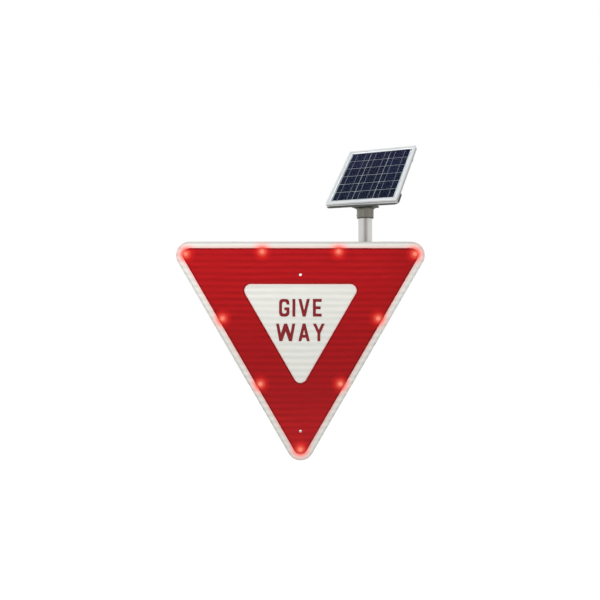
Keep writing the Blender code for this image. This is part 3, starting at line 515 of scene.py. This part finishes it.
# Painted shade on the cap: dark up under its flange, where the panel shades it, and darker at its bottom rim.
cast("cap_alloy", linear(138, 136, 127), 0.00022,
     ((FLANGE_BASE - 0.012, FLANGE_BASE - 0.0005, 0.05),
      (CAP_BOTTOM + 0.0040, CAP_BOTTOM + 0.0008, 0.35)))
painted("bracket_coat", linear(72, 72, 66))
moulded("grey_plastic", linear(150, 152, 152))
moulded("black_plastic", linear(32, 32, 34))
plated("plated_steel", linear(184, 185, 184))
red_sheeting("red_film")
white_sheeting("white_film")
inked("legend_ink", linear(128, 24, 32))
lens("lens_red")
photovoltaic("cell_silicon")
clear_glass("clear_glass")
moulded("backing_film", linear(196, 199, 201), (0.45, 0.55), 0.000004)
# Painted light: a white strip that covers the shade under the panel frame's lip.
moulded("painted_light_strip", linear(232, 234, 236), (0.5, 0.6), 0.000004)
brushed("tinned_ribbon", linear(138, 142, 154), (1, 0.02, 1), (0.30, 0.42))
rubber("seal_rubber", linear(28, 28, 29))
circuit("circuit")
wrapped("battery_film", linear(58, 66, 84))
moulded("button_plastic", linear(158, 26, 30), (0.26, 0.36), 0.00003)


# Mesh building

def add_piece(name, builder, finish, body, place=WORLD, nodes=(), bevel=0.0, sharp=32.0, segments=2):
    """A visual piece made in its own frame, that rides on a body."""
    bmesh.ops.recalc_face_normals(builder, faces=builder.faces)
    mesh = bpy.data.meshes.new(name)
    builder.to_mesh(mesh)
    builder.free()
    mesh.shade_smooth()
    if not bevel:
        mesh.set_sharp_from_angle(angle=math.radians(sharp))
    piece = bpy.data.objects.new(name, mesh)
    bpy.context.scene.collection.objects.link(piece)
    mesh.materials.append(finishes[finish])
    piece.matrix_world = place
    if bevel:
        rounding = piece.modifiers.new("rounded_edges", "BEVEL")
        rounding.width = bevel
        rounding.segments = segments
        rounding.limit_method = "ANGLE"
        rounding.angle_limit = math.radians(sharp)
        rounding.harden_normals = True
        rounding.use_clamp_overlap = True
        rounding.miter_outer = "MITER_ARC"
    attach(piece, body)
    if nodes:
        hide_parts(*nodes)
    return piece


def refine(node, finish, place=WORLD, bevel=0.0004, sharp=32.0, segments=2):
    """A copy of a CAD node with its triangles merged into faces and its edges rounded."""
    source = frame["nodes"][node]
    builder = bmesh.new()
    builder.from_mesh(source.data)
    bmesh.ops.remove_doubles(builder, verts=builder.verts, dist=1e-6)
    bmesh.ops.dissolve_limit(builder, angle_limit=math.radians(1.0), verts=builder.verts, edges=builder.edges)
    bmesh.ops.transform(builder, matrix=place.inverted(), verts=builder.verts)
    add_piece(f"{node}_finished", builder, finish, source["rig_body"], place, (node,), bevel, sharp, segments)


def repaint(node, finish):
    """A CAD node that keeps its shape and takes a finish."""
    source = frame["nodes"][node]
    if not source.material_slots:
        source.data.materials.append(finishes[finish])
    for place in source.material_slots:
        place.material = finishes[finish]


def prism(builder, outline, low, high, plane="XZ", hole=None):
    """Extrude a flat outline in the XZ or XY plane, with an optional hole that has as many points."""
    def place(point, depth):
        return (point[0], depth, point[1]) if plane == "XZ" else (point[0], point[1], depth)
    rings = []
    for loop in (outline, hole or ()):
        rings.append([[builder.verts.new(place(point, depth)) for point in loop] for depth in (low, high)])
    count = len(outline)
    for near, far in rings[:2 if hole else 1]:
        for index in range(count):
            after = (index + 1) % count
            builder.faces.new((near[index], near[after], far[after], far[index]))
    for end in (0, 1):
        if not hole:
            builder.faces.new(rings[0][end])
            continue
        outer, inner = rings[0][end], rings[1][end]
        for index in range(count):
            after = (index + 1) % count
            builder.faces.new((outer[index], outer[after], inner[after], inner[index]))
    return builder


def box(builder, x_span, y_span, z_span):
    outline = [(x_span[0], y_span[0]), (x_span[1], y_span[0]), (x_span[1], y_span[1]), (x_span[0], y_span[1])]
    return prism(builder, outline, z_span[0], z_span[1], "XY")


def turned(builder, profile, sides, matrix=None, flutes=0):
    """Turn a profile of (radius, height) about Z. A third item is the flat-to-centre size of a hexagon that
    clips the circle, and flutes above zero cut that many grooves into the rings marked "grip"."""
    rings = []
    for radius, height, *form in profile:
        if radius == 0:
            rings.append([builder.verts.new((0, 0, height))])
            continue
        ring = []
        for index in range(sides):
            angle = 2 * math.pi * index / sides
            reach = radius
            if form and form[0] == "grip":
                reach = radius * (1 - 0.035 * max(0.0, math.cos(angle * flutes)))
            elif form:
                reach = min(radius, form[0] / math.cos((angle + math.pi / 6) % (math.pi / 3) - math.pi / 6))
            ring.append(builder.verts.new((reach * math.cos(angle), reach * math.sin(angle), height)))
        rings.append(ring)
    pairs = list(zip(rings, rings[1:]))
    if len(rings[0]) > 1:
        pairs.append((rings[-1], rings[0]))
    for first, second in pairs:
        for index in range(sides):
            after = (index + 1) % sides
            corners = [first[index % len(first)], first[after % len(first)],
                       second[after % len(second)], second[index % len(second)]]
            builder.faces.new(list(dict.fromkeys(corners)))
    if matrix:
        bmesh.ops.transform(builder, matrix=matrix, verts=[vert for ring in rings for vert in ring])
    return builder


def toward(axis, place=(0.0, 0.0, 0.0)):
    """A matrix that carries Z onto an axis, and then the origin to a place."""
    turn = Vector((0, 0, 1)).rotation_difference(Vector(axis)).to_matrix().to_4x4()
    return Matrix.Translation(place) @ turn


def arc(centre, radius, start, end, steps):
    points = []
    for step in range(steps + 1):
        angle = math.radians(start + (end - start) * step / steps)
        points.append((centre[0] + radius * math.cos(angle), centre[1] + radius * math.sin(angle)))
    return points


def rounded_rectangle(x_span, y_span, radius, steps=4):
    points = []
    corners = ((x_span[1] - radius, y_span[1] - radius), (x_span[0] + radius, y_span[1] - radius),
               (x_span[0] + radius, y_span[0] + radius), (x_span[1] - radius, y_span[0] + radius))
    for number, corner in enumerate(corners):
        points += arc(corner, radius, number * 90, number * 90 + 90, steps)
    return points


def thread(radius, low, high, pitch=0.00125, depth=0.0006):
    """Points of a profile for a threaded shank."""
    points = []
    count = int((high - low) / pitch)
    for number in range(count):
        at = low + number * pitch
        points += [(radius - depth, at), (radius, at + pitch / 2)]
    points.append((radius - depth, low + count * pitch))
    return points


def socket_screw(builder, matrix, radius, height):
    """A button head with a hexagon socket, seated at Z = 0."""
    flats = radius / 2
    crown = [(radius * math.cos(angle), height * (0.35 + 0.65 * math.sin(angle)))
             for angle in (0.0, 0.35, 0.7, 1.0)]
    profile = [(0, height * 0.4), (flats * 1.16, height * 0.4, flats), (flats * 1.16, height, flats),
               *reversed(crown), (radius, 0), (0, 0)]
    return turned(builder, profile, 36, matrix)


def hexagon_head(builder, matrix, flats, height, flange):
    """A hexagon head with a turned chamfer, on a flange or washer, seated at Z = 0."""
    corner = flats / 2 * 1.1547
    half = flats / 2
    profile = [(0, 0), (flange, 0), (flange, 0.0010), (flange * 0.97, 0.0014), (corner * 1.01, 0.0019, half),
               (corner, height - 0.0012, half), (half * 1.06, height - 0.0003, half), (half * 0.96, height),
               (half * 0.84, height), (half * 0.80, height - 0.0003), (0, height - 0.0003)]
    return turned(builder, profile, 48, matrix)


# Sign

def side_point(side_angle, along, inset):
    angle = math.radians(side_angle)
    outward = Vector((math.cos(angle), math.sin(angle)))
    upward = Vector((-outward.y, outward.x))
    place = Vector((0, CENTRE_HEIGHT)) + outward * (INRADIUS - inset) + upward * along
    return place.x, place.y


def finish_sign():
    refine("sign_blank", "level_aluminium", bevel=0)
    repaint("white_sheeting", "white_film")
    repaint("red_overlay", "red_film")
    repaint("lamp_harness", "seal_rubber")
    for side in ("top", "right", "left"):
        finish = "level_aluminium" if side == "top" else "upright_aluminium"
        refine(f"raceway_channel_{side}", finish)
        refine(f"raceway_cover_{side}", finish, bevel=0.0003)
    screws = bmesh.new()
    for angle in (90.0, -30.0, 210.0):
        for along in (-0.345, -0.175, -0.055, 0.055, 0.205, 0.345):
            across, height = side_point(angle, along, RACEWAY_MIDDLE)
            socket_screw(screws, toward((0, 1, 0), (across, RACEWAY_COVER, height)), *RACEWAY_SCREW)
    add_piece("raceway_screws", screws, "plated_steel", "sign")


def finish_lamps():
    """Each lamp gets a finer lens with a stepped flange, and a nut behind the face."""
    face = -RED_FILM[0] + GAP + 0.0012
    seat = -RED_FILM[0] + GAP
    nuts = bmesh.new()
    for number in range(1, 10):
        low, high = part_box(f"lamp_{number}")
        matrix = toward((0, -1, 0), ((low.x + high.x) / 2, 0, (low.z + high.z) / 2))
        profile = [(0, 0.0145), (0.0040, 0.0145), (0.0046, 0.0151), (0.0047, 0.0200), (0.0047, seat),
                   (0.0066, seat), (0.0068, seat + 0.0002), (0.0068, face - 0.0004), (0.0066, face - 0.0001),
                   (0.0062, face), (0.0053, face), (0.0050, face + 0.0003), (0.0050, face + 0.0010)]
        for step in range(1, 8):
            angle = math.radians(step * 90 / 8)
            profile.append((0.0050 * math.cos(angle), face + 0.0010 + 0.0030 * math.sin(angle)))
        profile.append((0, face + 0.0040))
        add_piece(f"lamp_{number}_lens", turned(bmesh.new(), profile, 40, matrix), "lens_red", "sign",
                  nodes=(f"lamp_{number}",))
        flats = 0.0072
        ring = [(0.0048, 0.0200), (0.0078, 0.0200, flats), (0.0080, 0.0204, flats), (0.0080, 0.0232, flats),
                (0.0048, 0.0232)]
        turned(nuts, ring, 36, matrix)
    add_piece("lamp_nuts", nuts, "black_plastic", "sign")


def letter_shapes(stroke):
    """Plain block capitals on a height of one: the width, the outline, and a counter or nothing."""
    low, high = 0.5 - stroke / 2, 0.5 + stroke / 2
    shapes = {"I": (stroke, [(0, 0), (stroke, 0), (stroke, 1), (0, 1)], None)}
    shapes["E"] = (0.5, [(0, 0), (0.5, 0), (0.5, stroke), (stroke, stroke), (stroke, low), (0.44, low),
                         (0.44, high), (stroke, high), (stroke, 1 - stroke), (0.5, 1 - stroke), (0.5, 1),
                         (0, 1)], None)
    width, bend = 0.58, 0.2
    inside = bend - stroke / 2
    outline = [(width, 0.68), (width, 1 - bend)]
    outline += arc((width - bend, 1 - bend), bend, 0, 90, 6) + arc((bend, 1 - bend), bend, 90, 180, 6)
    outline += arc((bend, bend), bend, 180, 270, 6) + arc((width - bend, bend), bend, 270, 360, 6)
    outline += [(width, 0.52), (0.3, 0.52), (0.3, 0.52 - stroke), (width - stroke, 0.52 - stroke)]
    near, far = stroke + inside, 1 - stroke - inside
    left, right = stroke + inside, width - stroke - inside
    outline += arc((right, near), inside, 0, -90, 5) + arc((left, near), inside, 270, 180, 5)
    outline += arc((left, far), inside, 180, 90, 5) + arc((right, far), inside, 90, 0, 5)
    outline.append((width - stroke, 0.68))
    shapes["G"] = (width, outline, None)
    lean = 0.24
    broad = stroke * math.sqrt(1 + lean ** 2)
    width = 2 * lean + broad
    shapes["V"] = (width, [(0, 1), (lean, 0), (lean + broad, 0), (width, 1), (width - broad, 1),
                           (width / 2, broad / (2 * lean)), (broad, 1)], None)

    def inner_edge(height):
        return broad + lean * height
    bar_low, bar_high = 0.2, 0.2 + stroke
    outline = [(0, 0), (broad, 0), (inner_edge(bar_low), bar_low), (width - inner_edge(bar_low), bar_low),
               (width - broad, 0), (width, 0), (width - lean, 1), (lean, 1)]
    counter = [(inner_edge(bar_high), bar_high), (width - inner_edge(bar_high), bar_high),
               (width / 2, (width / 2 - broad) / lean)]
    shapes["A"] = (width, outline, counter)
    lean = 0.19
    broad = stroke * math.sqrt(1 + lean ** 2)
    foot = lean + broad
    width = 2 * foot + 2 * lean
    crotch = broad / (2 * lean)
    middle, nib = width / 2, broad / 2
    shapes["W"] = (width, [(0, 1), (lean, 0), (foot, 0), (middle, 1 - crotch), (width - foot, 0),
                           (width - lean, 0), (width, 1), (width - broad, 1), (width - lean - nib, crotch),
                           (middle + nib, 1), (middle - nib, 1), (lean + nib, crotch), (broad, 1)], None)
    half, fork = 0.25 + stroke / 2, 0.45
    slope = 0.25 / (1 - fork)
    broad = stroke * math.sqrt(1 + slope ** 2)
    width = 2 * half + broad - stroke
    middle = width / 2
    left, right = middle - stroke / 2, middle + stroke / 2
    crotch = 1 - (middle - broad) / slope
    shapes["Y"] = (width, [(left, 0), (right, 0), (right, fork), (width, 1), (width - broad, 1),
                           (middle, crotch), (broad, 1), (0, 1), (left, fork)], None)
    return shapes


def add_legend():
    """The generic words of a priority sign, cut from film and laid on the white field."""
    height, stroke, space = 0.060, 0.0098, 0.0105
    shapes = letter_shapes(stroke / height)
    for word, base in (("GIVE", 0.124), ("WAY", 0.040)):
        length = sum(shapes[letter][0] * height for letter in word) + space * (len(word) - 1)
        start = -length / 2
        for place, letter in enumerate(word):
            width, outline, counter = shapes[letter]

            def on_sign(points):
                return [(start + x * height, base + z * height) for x, z in points]
            film = prism(bmesh.new(), on_sign(outline), *RED_FILM)
            piece = add_piece(f"legend_{word.lower()}_{place + 1}", film, "legend_ink", "sign")
            if counter:
                cutter = bpy.data.meshes.new("counter")
                built = prism(bmesh.new(), on_sign(counter), RED_FILM[0] - 0.001, RED_FILM[1] + 0.001)
                bmesh.ops.recalc_face_normals(built, faces=built.faces)
                built.to_mesh(cutter)
                built.free()
                helper = bpy.data.objects.new("counter", cutter)
                bpy.context.scene.collection.objects.link(helper)
                cut = piece.modifiers.new("counter", "BOOLEAN")
                cut.operation, cut.solver, cut.object = "DIFFERENCE", "EXACT", helper
                apply_modifiers(piece)
                bpy.data.objects.remove(helper)
            start += width * height + space


def apply_modifiers(piece):
    """Put the evaluated mesh in place of the piece's own, and leave no modifier."""
    bpy.context.view_layer.update()
    graph = bpy.context.evaluated_depsgraph_get()
    mesh = bpy.data.meshes.new_from_object(piece.evaluated_get(graph))
    piece.modifiers.clear()
    piece.data = mesh


# Frame behind the sign

def finish_supports():
    refine("post_bar", "upright_aluminium", bevel=0.0007)
    for name in ("lower", "upper"):
        refine(f"{name}_bolt_sleeve", "plated_steel", bevel=0.0003, sharp=50)
        refine(f"{name}_bar_plug", "black_plastic", bevel=0.0005)
        refine(f"{name}_brace", "level_aluminium", bevel=0.0007)
        refine(f"{name}_brace_cleat", "level_aluminium", bevel=0.0006)
        refine(f"{name}_mast_saddle", "cast_alloy", bevel=0.0009)
        refine(f"{name}_mast_strap", "cast_alloy", bevel=0.0008)
    plugs = bmesh.new()
    fixings = bmesh.new()
    for name, height in BRACES:
        box(plugs, (BRACE_END + GAP, BRACE_END + 0.0022), (BAR_FRONT + 0.0005, -0.0005),
            (height - 0.0155, height + 0.0155))
        box(plugs, (BRACE_END - 0.008, BRACE_END + 0.001), (BAR_FRONT + 0.0029, -0.0029),
            (height - 0.0131, height + 0.0131))
        under = height - 0.016 - GAP - 0.003
        for depth in (-0.0185, -0.0065):
            below = (BAR_HALF + 0.0195, depth, under)
            beside = (BAR_HALF + GAP + 0.003, depth, under - 0.0155)
            socket_screw(fixings, toward((0, 0, -1), below), *CLEAT_SCREW)
            socket_screw(fixings, toward((1, 0, 0), beside), *CLEAT_SCREW)
        for hand, side in ((-1, "left"), (1, "right")):
            matrix = toward((0, 1, 0), (MAST_X + hand * CLAMP_OFFSET, EAR_REAR + GAP, height))
            bolt = hexagon_head(bmesh.new(), matrix, *MAIN_BOLT)
            shank = [(r, h - 0.034) for r, h in thread(0.0039, 0, 0.032)]
            turned(bolt, [(0, -0.034), *shank, (0, -0.002)], 24, matrix)
            node = f"{name}_clamp_bolt_{side}"
            add_piece(f"{node}_finished", bolt, "plated_steel", "sign", nodes=(node,))
    add_piece("brace_end_plugs", plugs, "black_plastic", "sign", bevel=0.0006)
    add_piece("cleat_screws", fixings, "plated_steel", "sign")


def gland(builder, matrix, length):
    """A cable gland: hexagon body, ribbed dome nut and a blanked throat."""
    nut = 0.0045
    flats = 0.0095
    profile = [(0, -0.0022), (0.0057, -0.0022), (0.0057, 0), (0.0108, 0, flats),
               (0.0109, 0.0005, flats), (0.0109, nut - 0.0005, flats), (0.0104, nut, flats),
               (0.0078, nut), (0.0078, nut + 0.0004), (0.0082, nut + 0.0006, "grip"),
               (0.0082, length * 0.76, "grip"), (0.0076, length * 0.84, "grip"),
               (0.0066, length * 0.94), (0.0058, length), (0.0046, length),
               (0.0044, length - 0.0012), (0, length - 0.0012)]
    return turned(builder, profile, 96, matrix, flutes=16)


def finish_glands():
    matrix = toward((0, 1, 0), (RACEWAY_GLAND_X, RACEWAY_COVER + GAP, SIGN_TOP - RACEWAY_MIDDLE))
    add_piece("raceway_gland_finished", gland(bmesh.new(), matrix, 0.0130), "black_plastic", "sign",
              nodes=("raceway_gland",))
    matrix = toward((0, -1, 0), (GLAND_X, CASE_LOW - GAP, FITTING_DEPTH))
    add_piece("cable_gland_finished", gland(bmesh.new(), matrix, 0.0142), "black_plastic", "panel", PANEL,
              ("cable_gland",))


def finish_mast():
    inner = MAST_RADIUS - MAST_WALL
    low, high = MAST_SPAN
    outer = MAST_RADIUS
    profile = [(inner + 0.0004, low), (outer - 0.0005, low), (outer - 0.0001, low + 0.0002),
               (outer, low + 0.0006), (outer, high - 0.0006), (outer - 0.0001, high - 0.0002),
               (outer - 0.0005, high), (inner + 0.0004, high), (inner, high - 0.0004), (inner, low + 0.0004)]
    axis = Matrix.Translation((MAST_X, MAST_Y, 0))
    add_piece("mast_finished", turned(bmesh.new(), profile, 144), "mast_finish", "mast", axis, ("mast",))
    refine("mast_plug", "black_plastic", axis, bevel=0.0003, sharp=50)


def finish_cap():
    refine("post_cap", "cap_alloy", TURNED, bevel=0.0008, sharp=28, segments=3)
    screws = bmesh.new()
    for axis in ((-1, 0, 0), (0, 1, 0)):
        matrix = toward(axis, (0, 0, SET_SCREW_HEIGHT))
        head = SOCKET_RADIUS + 0.0022
        flats = 0.0015
        profile = [(0, head - 0.0028), (0.0016, head - 0.0028, flats), (0.0018, head, flats), (0.0026, head),
                   (0.0032, head - 0.0006), (0.0032, MAST_RADIUS + 0.0002), (0, MAST_RADIUS + 0.0002)]
        turned(screws, profile, 36, matrix)
    add_piece("cap_set_screws", screws, "plated_steel", "cap", TURNED)

    matrix = toward((-1, 0, 0), (-TILT_SEAT, 0, HINGE_HEIGHT))
    bolt = hexagon_head(bmesh.new(), matrix, *MAIN_BOLT)
    length = 2 * TILT_SEAT + 0.012
    tail = [(r, h - length + 0.0006) for r, h in thread(0.0040, 0, 0.016)]
    turned(bolt, [(0, -length), (0.0034, -length), *tail, (0.0040, -length + 0.0175), (0.0040, -0.002),
                  (0, -0.002)], 32, matrix)
    add_piece("tilt_bolt_finished", bolt, "plated_steel", "cap", TURNED, ("tilt_bolt",))
    matrix = toward((1, 0, 0), (TILT_SEAT, 0, HINGE_HEIGHT))
    bore, half, corner, top = 0.0043, 0.0065, 0.0065 * 1.1547, 0.0080
    profile = [(bore, 0), (0.0082, 0), (0.0082, 0.0010), (0.0079, 0.0014), (corner * 1.01, 0.0019, half),
               (corner, top - 0.0010, half), (half * 1.05, top - 0.0002, half), (half * 0.96, top),
               (0.0050, top), (bore, top - 0.0006)]
    nut = turned(bmesh.new(), profile, 48, matrix)
    add_piece("tilt_nut_finished", nut, "plated_steel", "cap", TURNED, ("tilt_nut",))


# Solar panel

def finish_panel_frame():
    for side, place in (("bottom", PANEL), ("top", PANEL), ("left", UPRIGHT), ("right", UPRIGHT)):
        refine(f"panel_rail_{side}", "anodised", place, bevel=0.0003, sharp=40)
    keys = bmesh.new()
    for hand in (-1, 1):
        for along in (PANEL_SPAN[0] + 0.006, PANEL_SPAN[1] - 0.006):
            for depth in (0.0170, 0.0280):
                matrix = toward((hand, 0, 0), (hand * (PANEL_HALF - 0.00001), along, depth))
                socket_screw(keys, matrix, *FRAME_SCREW)
    add_piece("frame_corner_screws", keys, "plated_steel", "panel", PANEL)


def cell_grid():
    """(low x, high x, low y, high y) of each of the eighteen cells."""
    for column in range(3):
        for row in range(6):
            left = CELL_MARGIN - PANEL_HALF + column * (CELL_WIDE + COLUMN_GAP)
            low = PANEL_SPAN[0] + CELL_FOOT + row * (CELL_TALL + ROW_GAP)
            yield left, left + CELL_WIDE, low, low + CELL_TALL


def finish_laminate():
    repaint("panel_glass", "clear_glass")
    repaint("panel_backsheet", "backing_film")
    cells = bmesh.new()
    ribbons = bmesh.new()
    grid = list(cell_grid())
    for left, right, low, high in grid:
        outline = rounded_rectangle((left, right), (low, high), 0.0012, 2)
        prism(cells, outline, CELL_LEVEL, CELL_LEVEL + 0.0003, "XY")
    add_piece("solar_cells", cells, "cell_silicon", "panel", PANEL, ("solar_cell_sheet",))
    low, high = grid[0][2], grid[-1][3]
    for left, right, *_ in grid[::6]:
        for share in (0.26, 0.74):
            across = left + (right - left) * share
            box(ribbons, (across - 0.0008, across + 0.0008), (low - 0.004, high + 0.004),
                (CELL_LEVEL + 0.00035, CELL_LEVEL + 0.0005))
    add_piece("cell_ribbons", ribbons, "tinned_ribbon", "panel", PANEL)


def add_glass_border():
    """A white strip under the front of the glass, seen round the cells inside the frame's lip. It is painted
    light, laid over the shade that the lip casts on the backing film.
    """
    hidden, radius, level = 0.0024, 0.0010, 0.0290
    left, right, foot, head = 0.0060, 0.0020, 0.0016, 0.0100
    reach = PANEL_HALF - hidden
    outer = rounded_rectangle((-reach, reach), (PANEL_SPAN[0] + hidden, PANEL_SPAN[1] - hidden), radius, 2)
    reach = PANEL_HALF - LIP
    inner = rounded_rectangle((left - reach, reach - right),
                              (PANEL_SPAN[0] + LIP + foot, PANEL_SPAN[1] - LIP - head), radius, 2)
    border = prism(bmesh.new(), outer, level, level + 0.0002, "XY", inner)
    add_piece("glass_border", border, "painted_light_strip", "panel", PANEL)


def finish_brackets():
    for node in ("lower_crossbar", "upper_crossbar", "case_plate"):
        refine(node, "bracket_coat", PANEL, bevel=0.0005)
    heads = bmesh.new()
    rail_line, plate_line, case_line = PANEL_HALF - 0.0075, 0.048, 0.045
    for hand in (-1, 1):
        for along in (-0.030, 0.008, 0.213, 0.227):
            place = (hand * rail_line, along, CROSSBAR_BACK)
            hexagon_head(heads, toward((0, 0, -1), place), *CROSSBAR_BOLT)
        for along in (0.004, 0.220):
            place = (hand * plate_line, along, PLATE_BACK)
            hexagon_head(heads, toward((0, 0, -1), place), *PLATE_BOLT)
        for along in (0.070, 0.180):
            place = (hand * case_line, along, PLATE_FRONT)
            socket_screw(heads, toward((0, 0, 1), place), *CASE_SCREW)
    add_piece("bracket_bolts", heads, "plated_steel", "panel", PANEL)


def finish_case():
    refine("battery_case", "grey_plastic", PANEL, bevel=0.0008)
    refine("case_gasket", "seal_rubber", PANEL, bevel=0.0002)
    refine("case_lid", "grey_plastic", PANEL, bevel=0.0012, segments=3)
    refine("panel_junction_box", "black_plastic", PANEL, bevel=0.0008, segments=3)
    repaint("battery_pack", "battery_film")
    repaint("control_board", "circuit")
    screws = bmesh.new()
    for across in (-0.086, 0.086):
        for along in (0.061, 0.189):
            socket_screw(screws, toward((0, 0, -1), (across, along, LID_FACE)), *LID_SCREW)
    add_piece("lid_screws", screws, "plated_steel", "panel", PANEL)
    rib = bmesh.new()
    outer = rounded_rectangle((-0.076, 0.076), (0.071, 0.179), 0.006, 5)
    inner = rounded_rectangle((-0.0735, 0.0735), (0.0735, 0.1765), 0.0035, 5)
    prism(rib, outer, LID_FACE - 0.0009, LID_FACE + 0.0002, "XY", inner)
    add_piece("lid_rim", rib, "grey_plastic", "panel", PANEL, bevel=0.0003)
    matrix = toward((0, 1, 0), (BUTTON_X, CASE_LOW, FITTING_DEPTH))
    profile = [(0, 0.0050), (0.0078, 0.0050), (0.0080, 0.0048), (0.0080, 0.0028), (0.0060, 0.0028),
               (0.0060, -0.0042), (0.0058, -0.0049), (0.0053, -0.0053), (0.0047, -0.0054), (0.0041, -0.0052),
               (0.0030, -0.0047), (0.0015, -0.0044), (0, -0.0043)]
    button = turned(bmesh.new(), profile, 48, matrix)
    add_piece("power_button_finished", button, "button_plastic", "button", PANEL, ("power_button",))


# Stage

def add_light(name, place, target, size, power):
    lamp = bpy.data.lights.new(name, "AREA")
    lamp.shape = "RECTANGLE"
    lamp.size, lamp.size_y = size
    lamp.energy = power
    item = bpy.data.objects.new(name, lamp)
    bpy.context.scene.collection.objects.link(item)
    item.location = place
    item.rotation_euler = (Vector(target) - Vector(place)).to_track_quat("-Z", "Y").to_euler()
    item.visible_glossy = False
    item.visible_camera = False
    item.visible_transmission = False


def set_world():
    """White for the camera. For light it is grey in front, and half as strong on matt surfaces."""
    world = bpy.data.worlds.new("studio")
    bpy.context.scene.world = world
    world.use_nodes = True
    studio = Nodes(world.node_tree)
    shown = studio.tree.nodes["Background"]
    shown.inputs["Color"].default_value = (1, 1, 1, 1)
    shown.inputs["Strength"].default_value = 1.0
    direction = studio.node("ShaderNodeTexCoord").outputs["Generated"]
    heading = studio.node("ShaderNodeSeparateXYZ", {0: direction}).outputs["Y"]
    front = studio.span(studio.times(heading, -1.0), 0.72, 0.97, 1.0, 0.30, True)
    path = studio.node("ShaderNodeLightPath").outputs
    light = studio.times(front, studio.less(1.0, studio.times(path["Is Diffuse Ray"], 0.50)))
    fill = studio.node("ShaderNodeBackground", {"Color": studio.grey(light), "Strength": 0.92})
    studio.blend(path["Is Camera Ray"], fill.outputs[0], shown.outputs[0])


def set_lights():
    middle = (0.0, 0.0, 0.15)
    add_light("key", (-1.6, -1.8, 2.2), middle, (1.6, 1.2), 66.0)
    add_light("top", (0.1, -0.5, 2.6), (0.2, 0.0, 0.4), (1.6, 1.6), 5.0)
    add_light("rear", (-0.6, 2.6, 1.6), middle, (1.6, 1.4), 22.0)


def add_floor():
    """White paper below the sign. It glows away from the middle, so that it meets the white background, and
    its dim middle is a painted shadow under the sign.
    """
    paper = Finish("floor_paper", Roughness=0.9, Specular_IOR_Level=0.05)
    cloud = paper.noise(6.0, 3.0, 0.5)
    paper.paint(linear(232, 232, 230), paper.span(cloud, 0.3, 0.7, 0.985, 1.0))
    # Painted shadow: the glow is weakest under the sign and grows with distance from it.
    away = paper.distance((0.0, -0.2, FLOOR))
    paper.glow(paper.grey(paper.span(away, 0.05, 1.05, 0.0, 0.66, True)))
    builder = bmesh.new()
    box(builder, (-6, 6), (-6, 8), (FLOOR - 0.01, FLOOR))
    mesh = bpy.data.meshes.new("floor")
    builder.to_mesh(mesh)
    builder.free()
    mesh.materials.append(paper.material)
    ground = bpy.data.objects.new("floor", mesh)
    bpy.context.scene.collection.objects.link(ground)


def set_camera():
    lens_data = bpy.data.cameras.new("camera")
    lens_data.lens = 41.5
    lens_data.sensor_width = 36.0
    camera = bpy.data.objects.new("camera", lens_data)
    bpy.context.scene.collection.objects.link(camera)
    camera.location = (-0.0014, -2.384, 0.1804)
    camera.rotation_euler = (math.pi / 2, 0, 0)
    bpy.context.scene.camera = camera
    bpy.context.scene.view_settings.view_transform = "Standard"


finish_sign()
finish_lamps()
add_legend()
finish_supports()
finish_glands()
finish_mast()
finish_cap()
finish_panel_frame()
finish_laminate()
add_glass_border()
finish_brackets()
finish_case()
set_world()
set_lights()
add_floor()
set_camera()
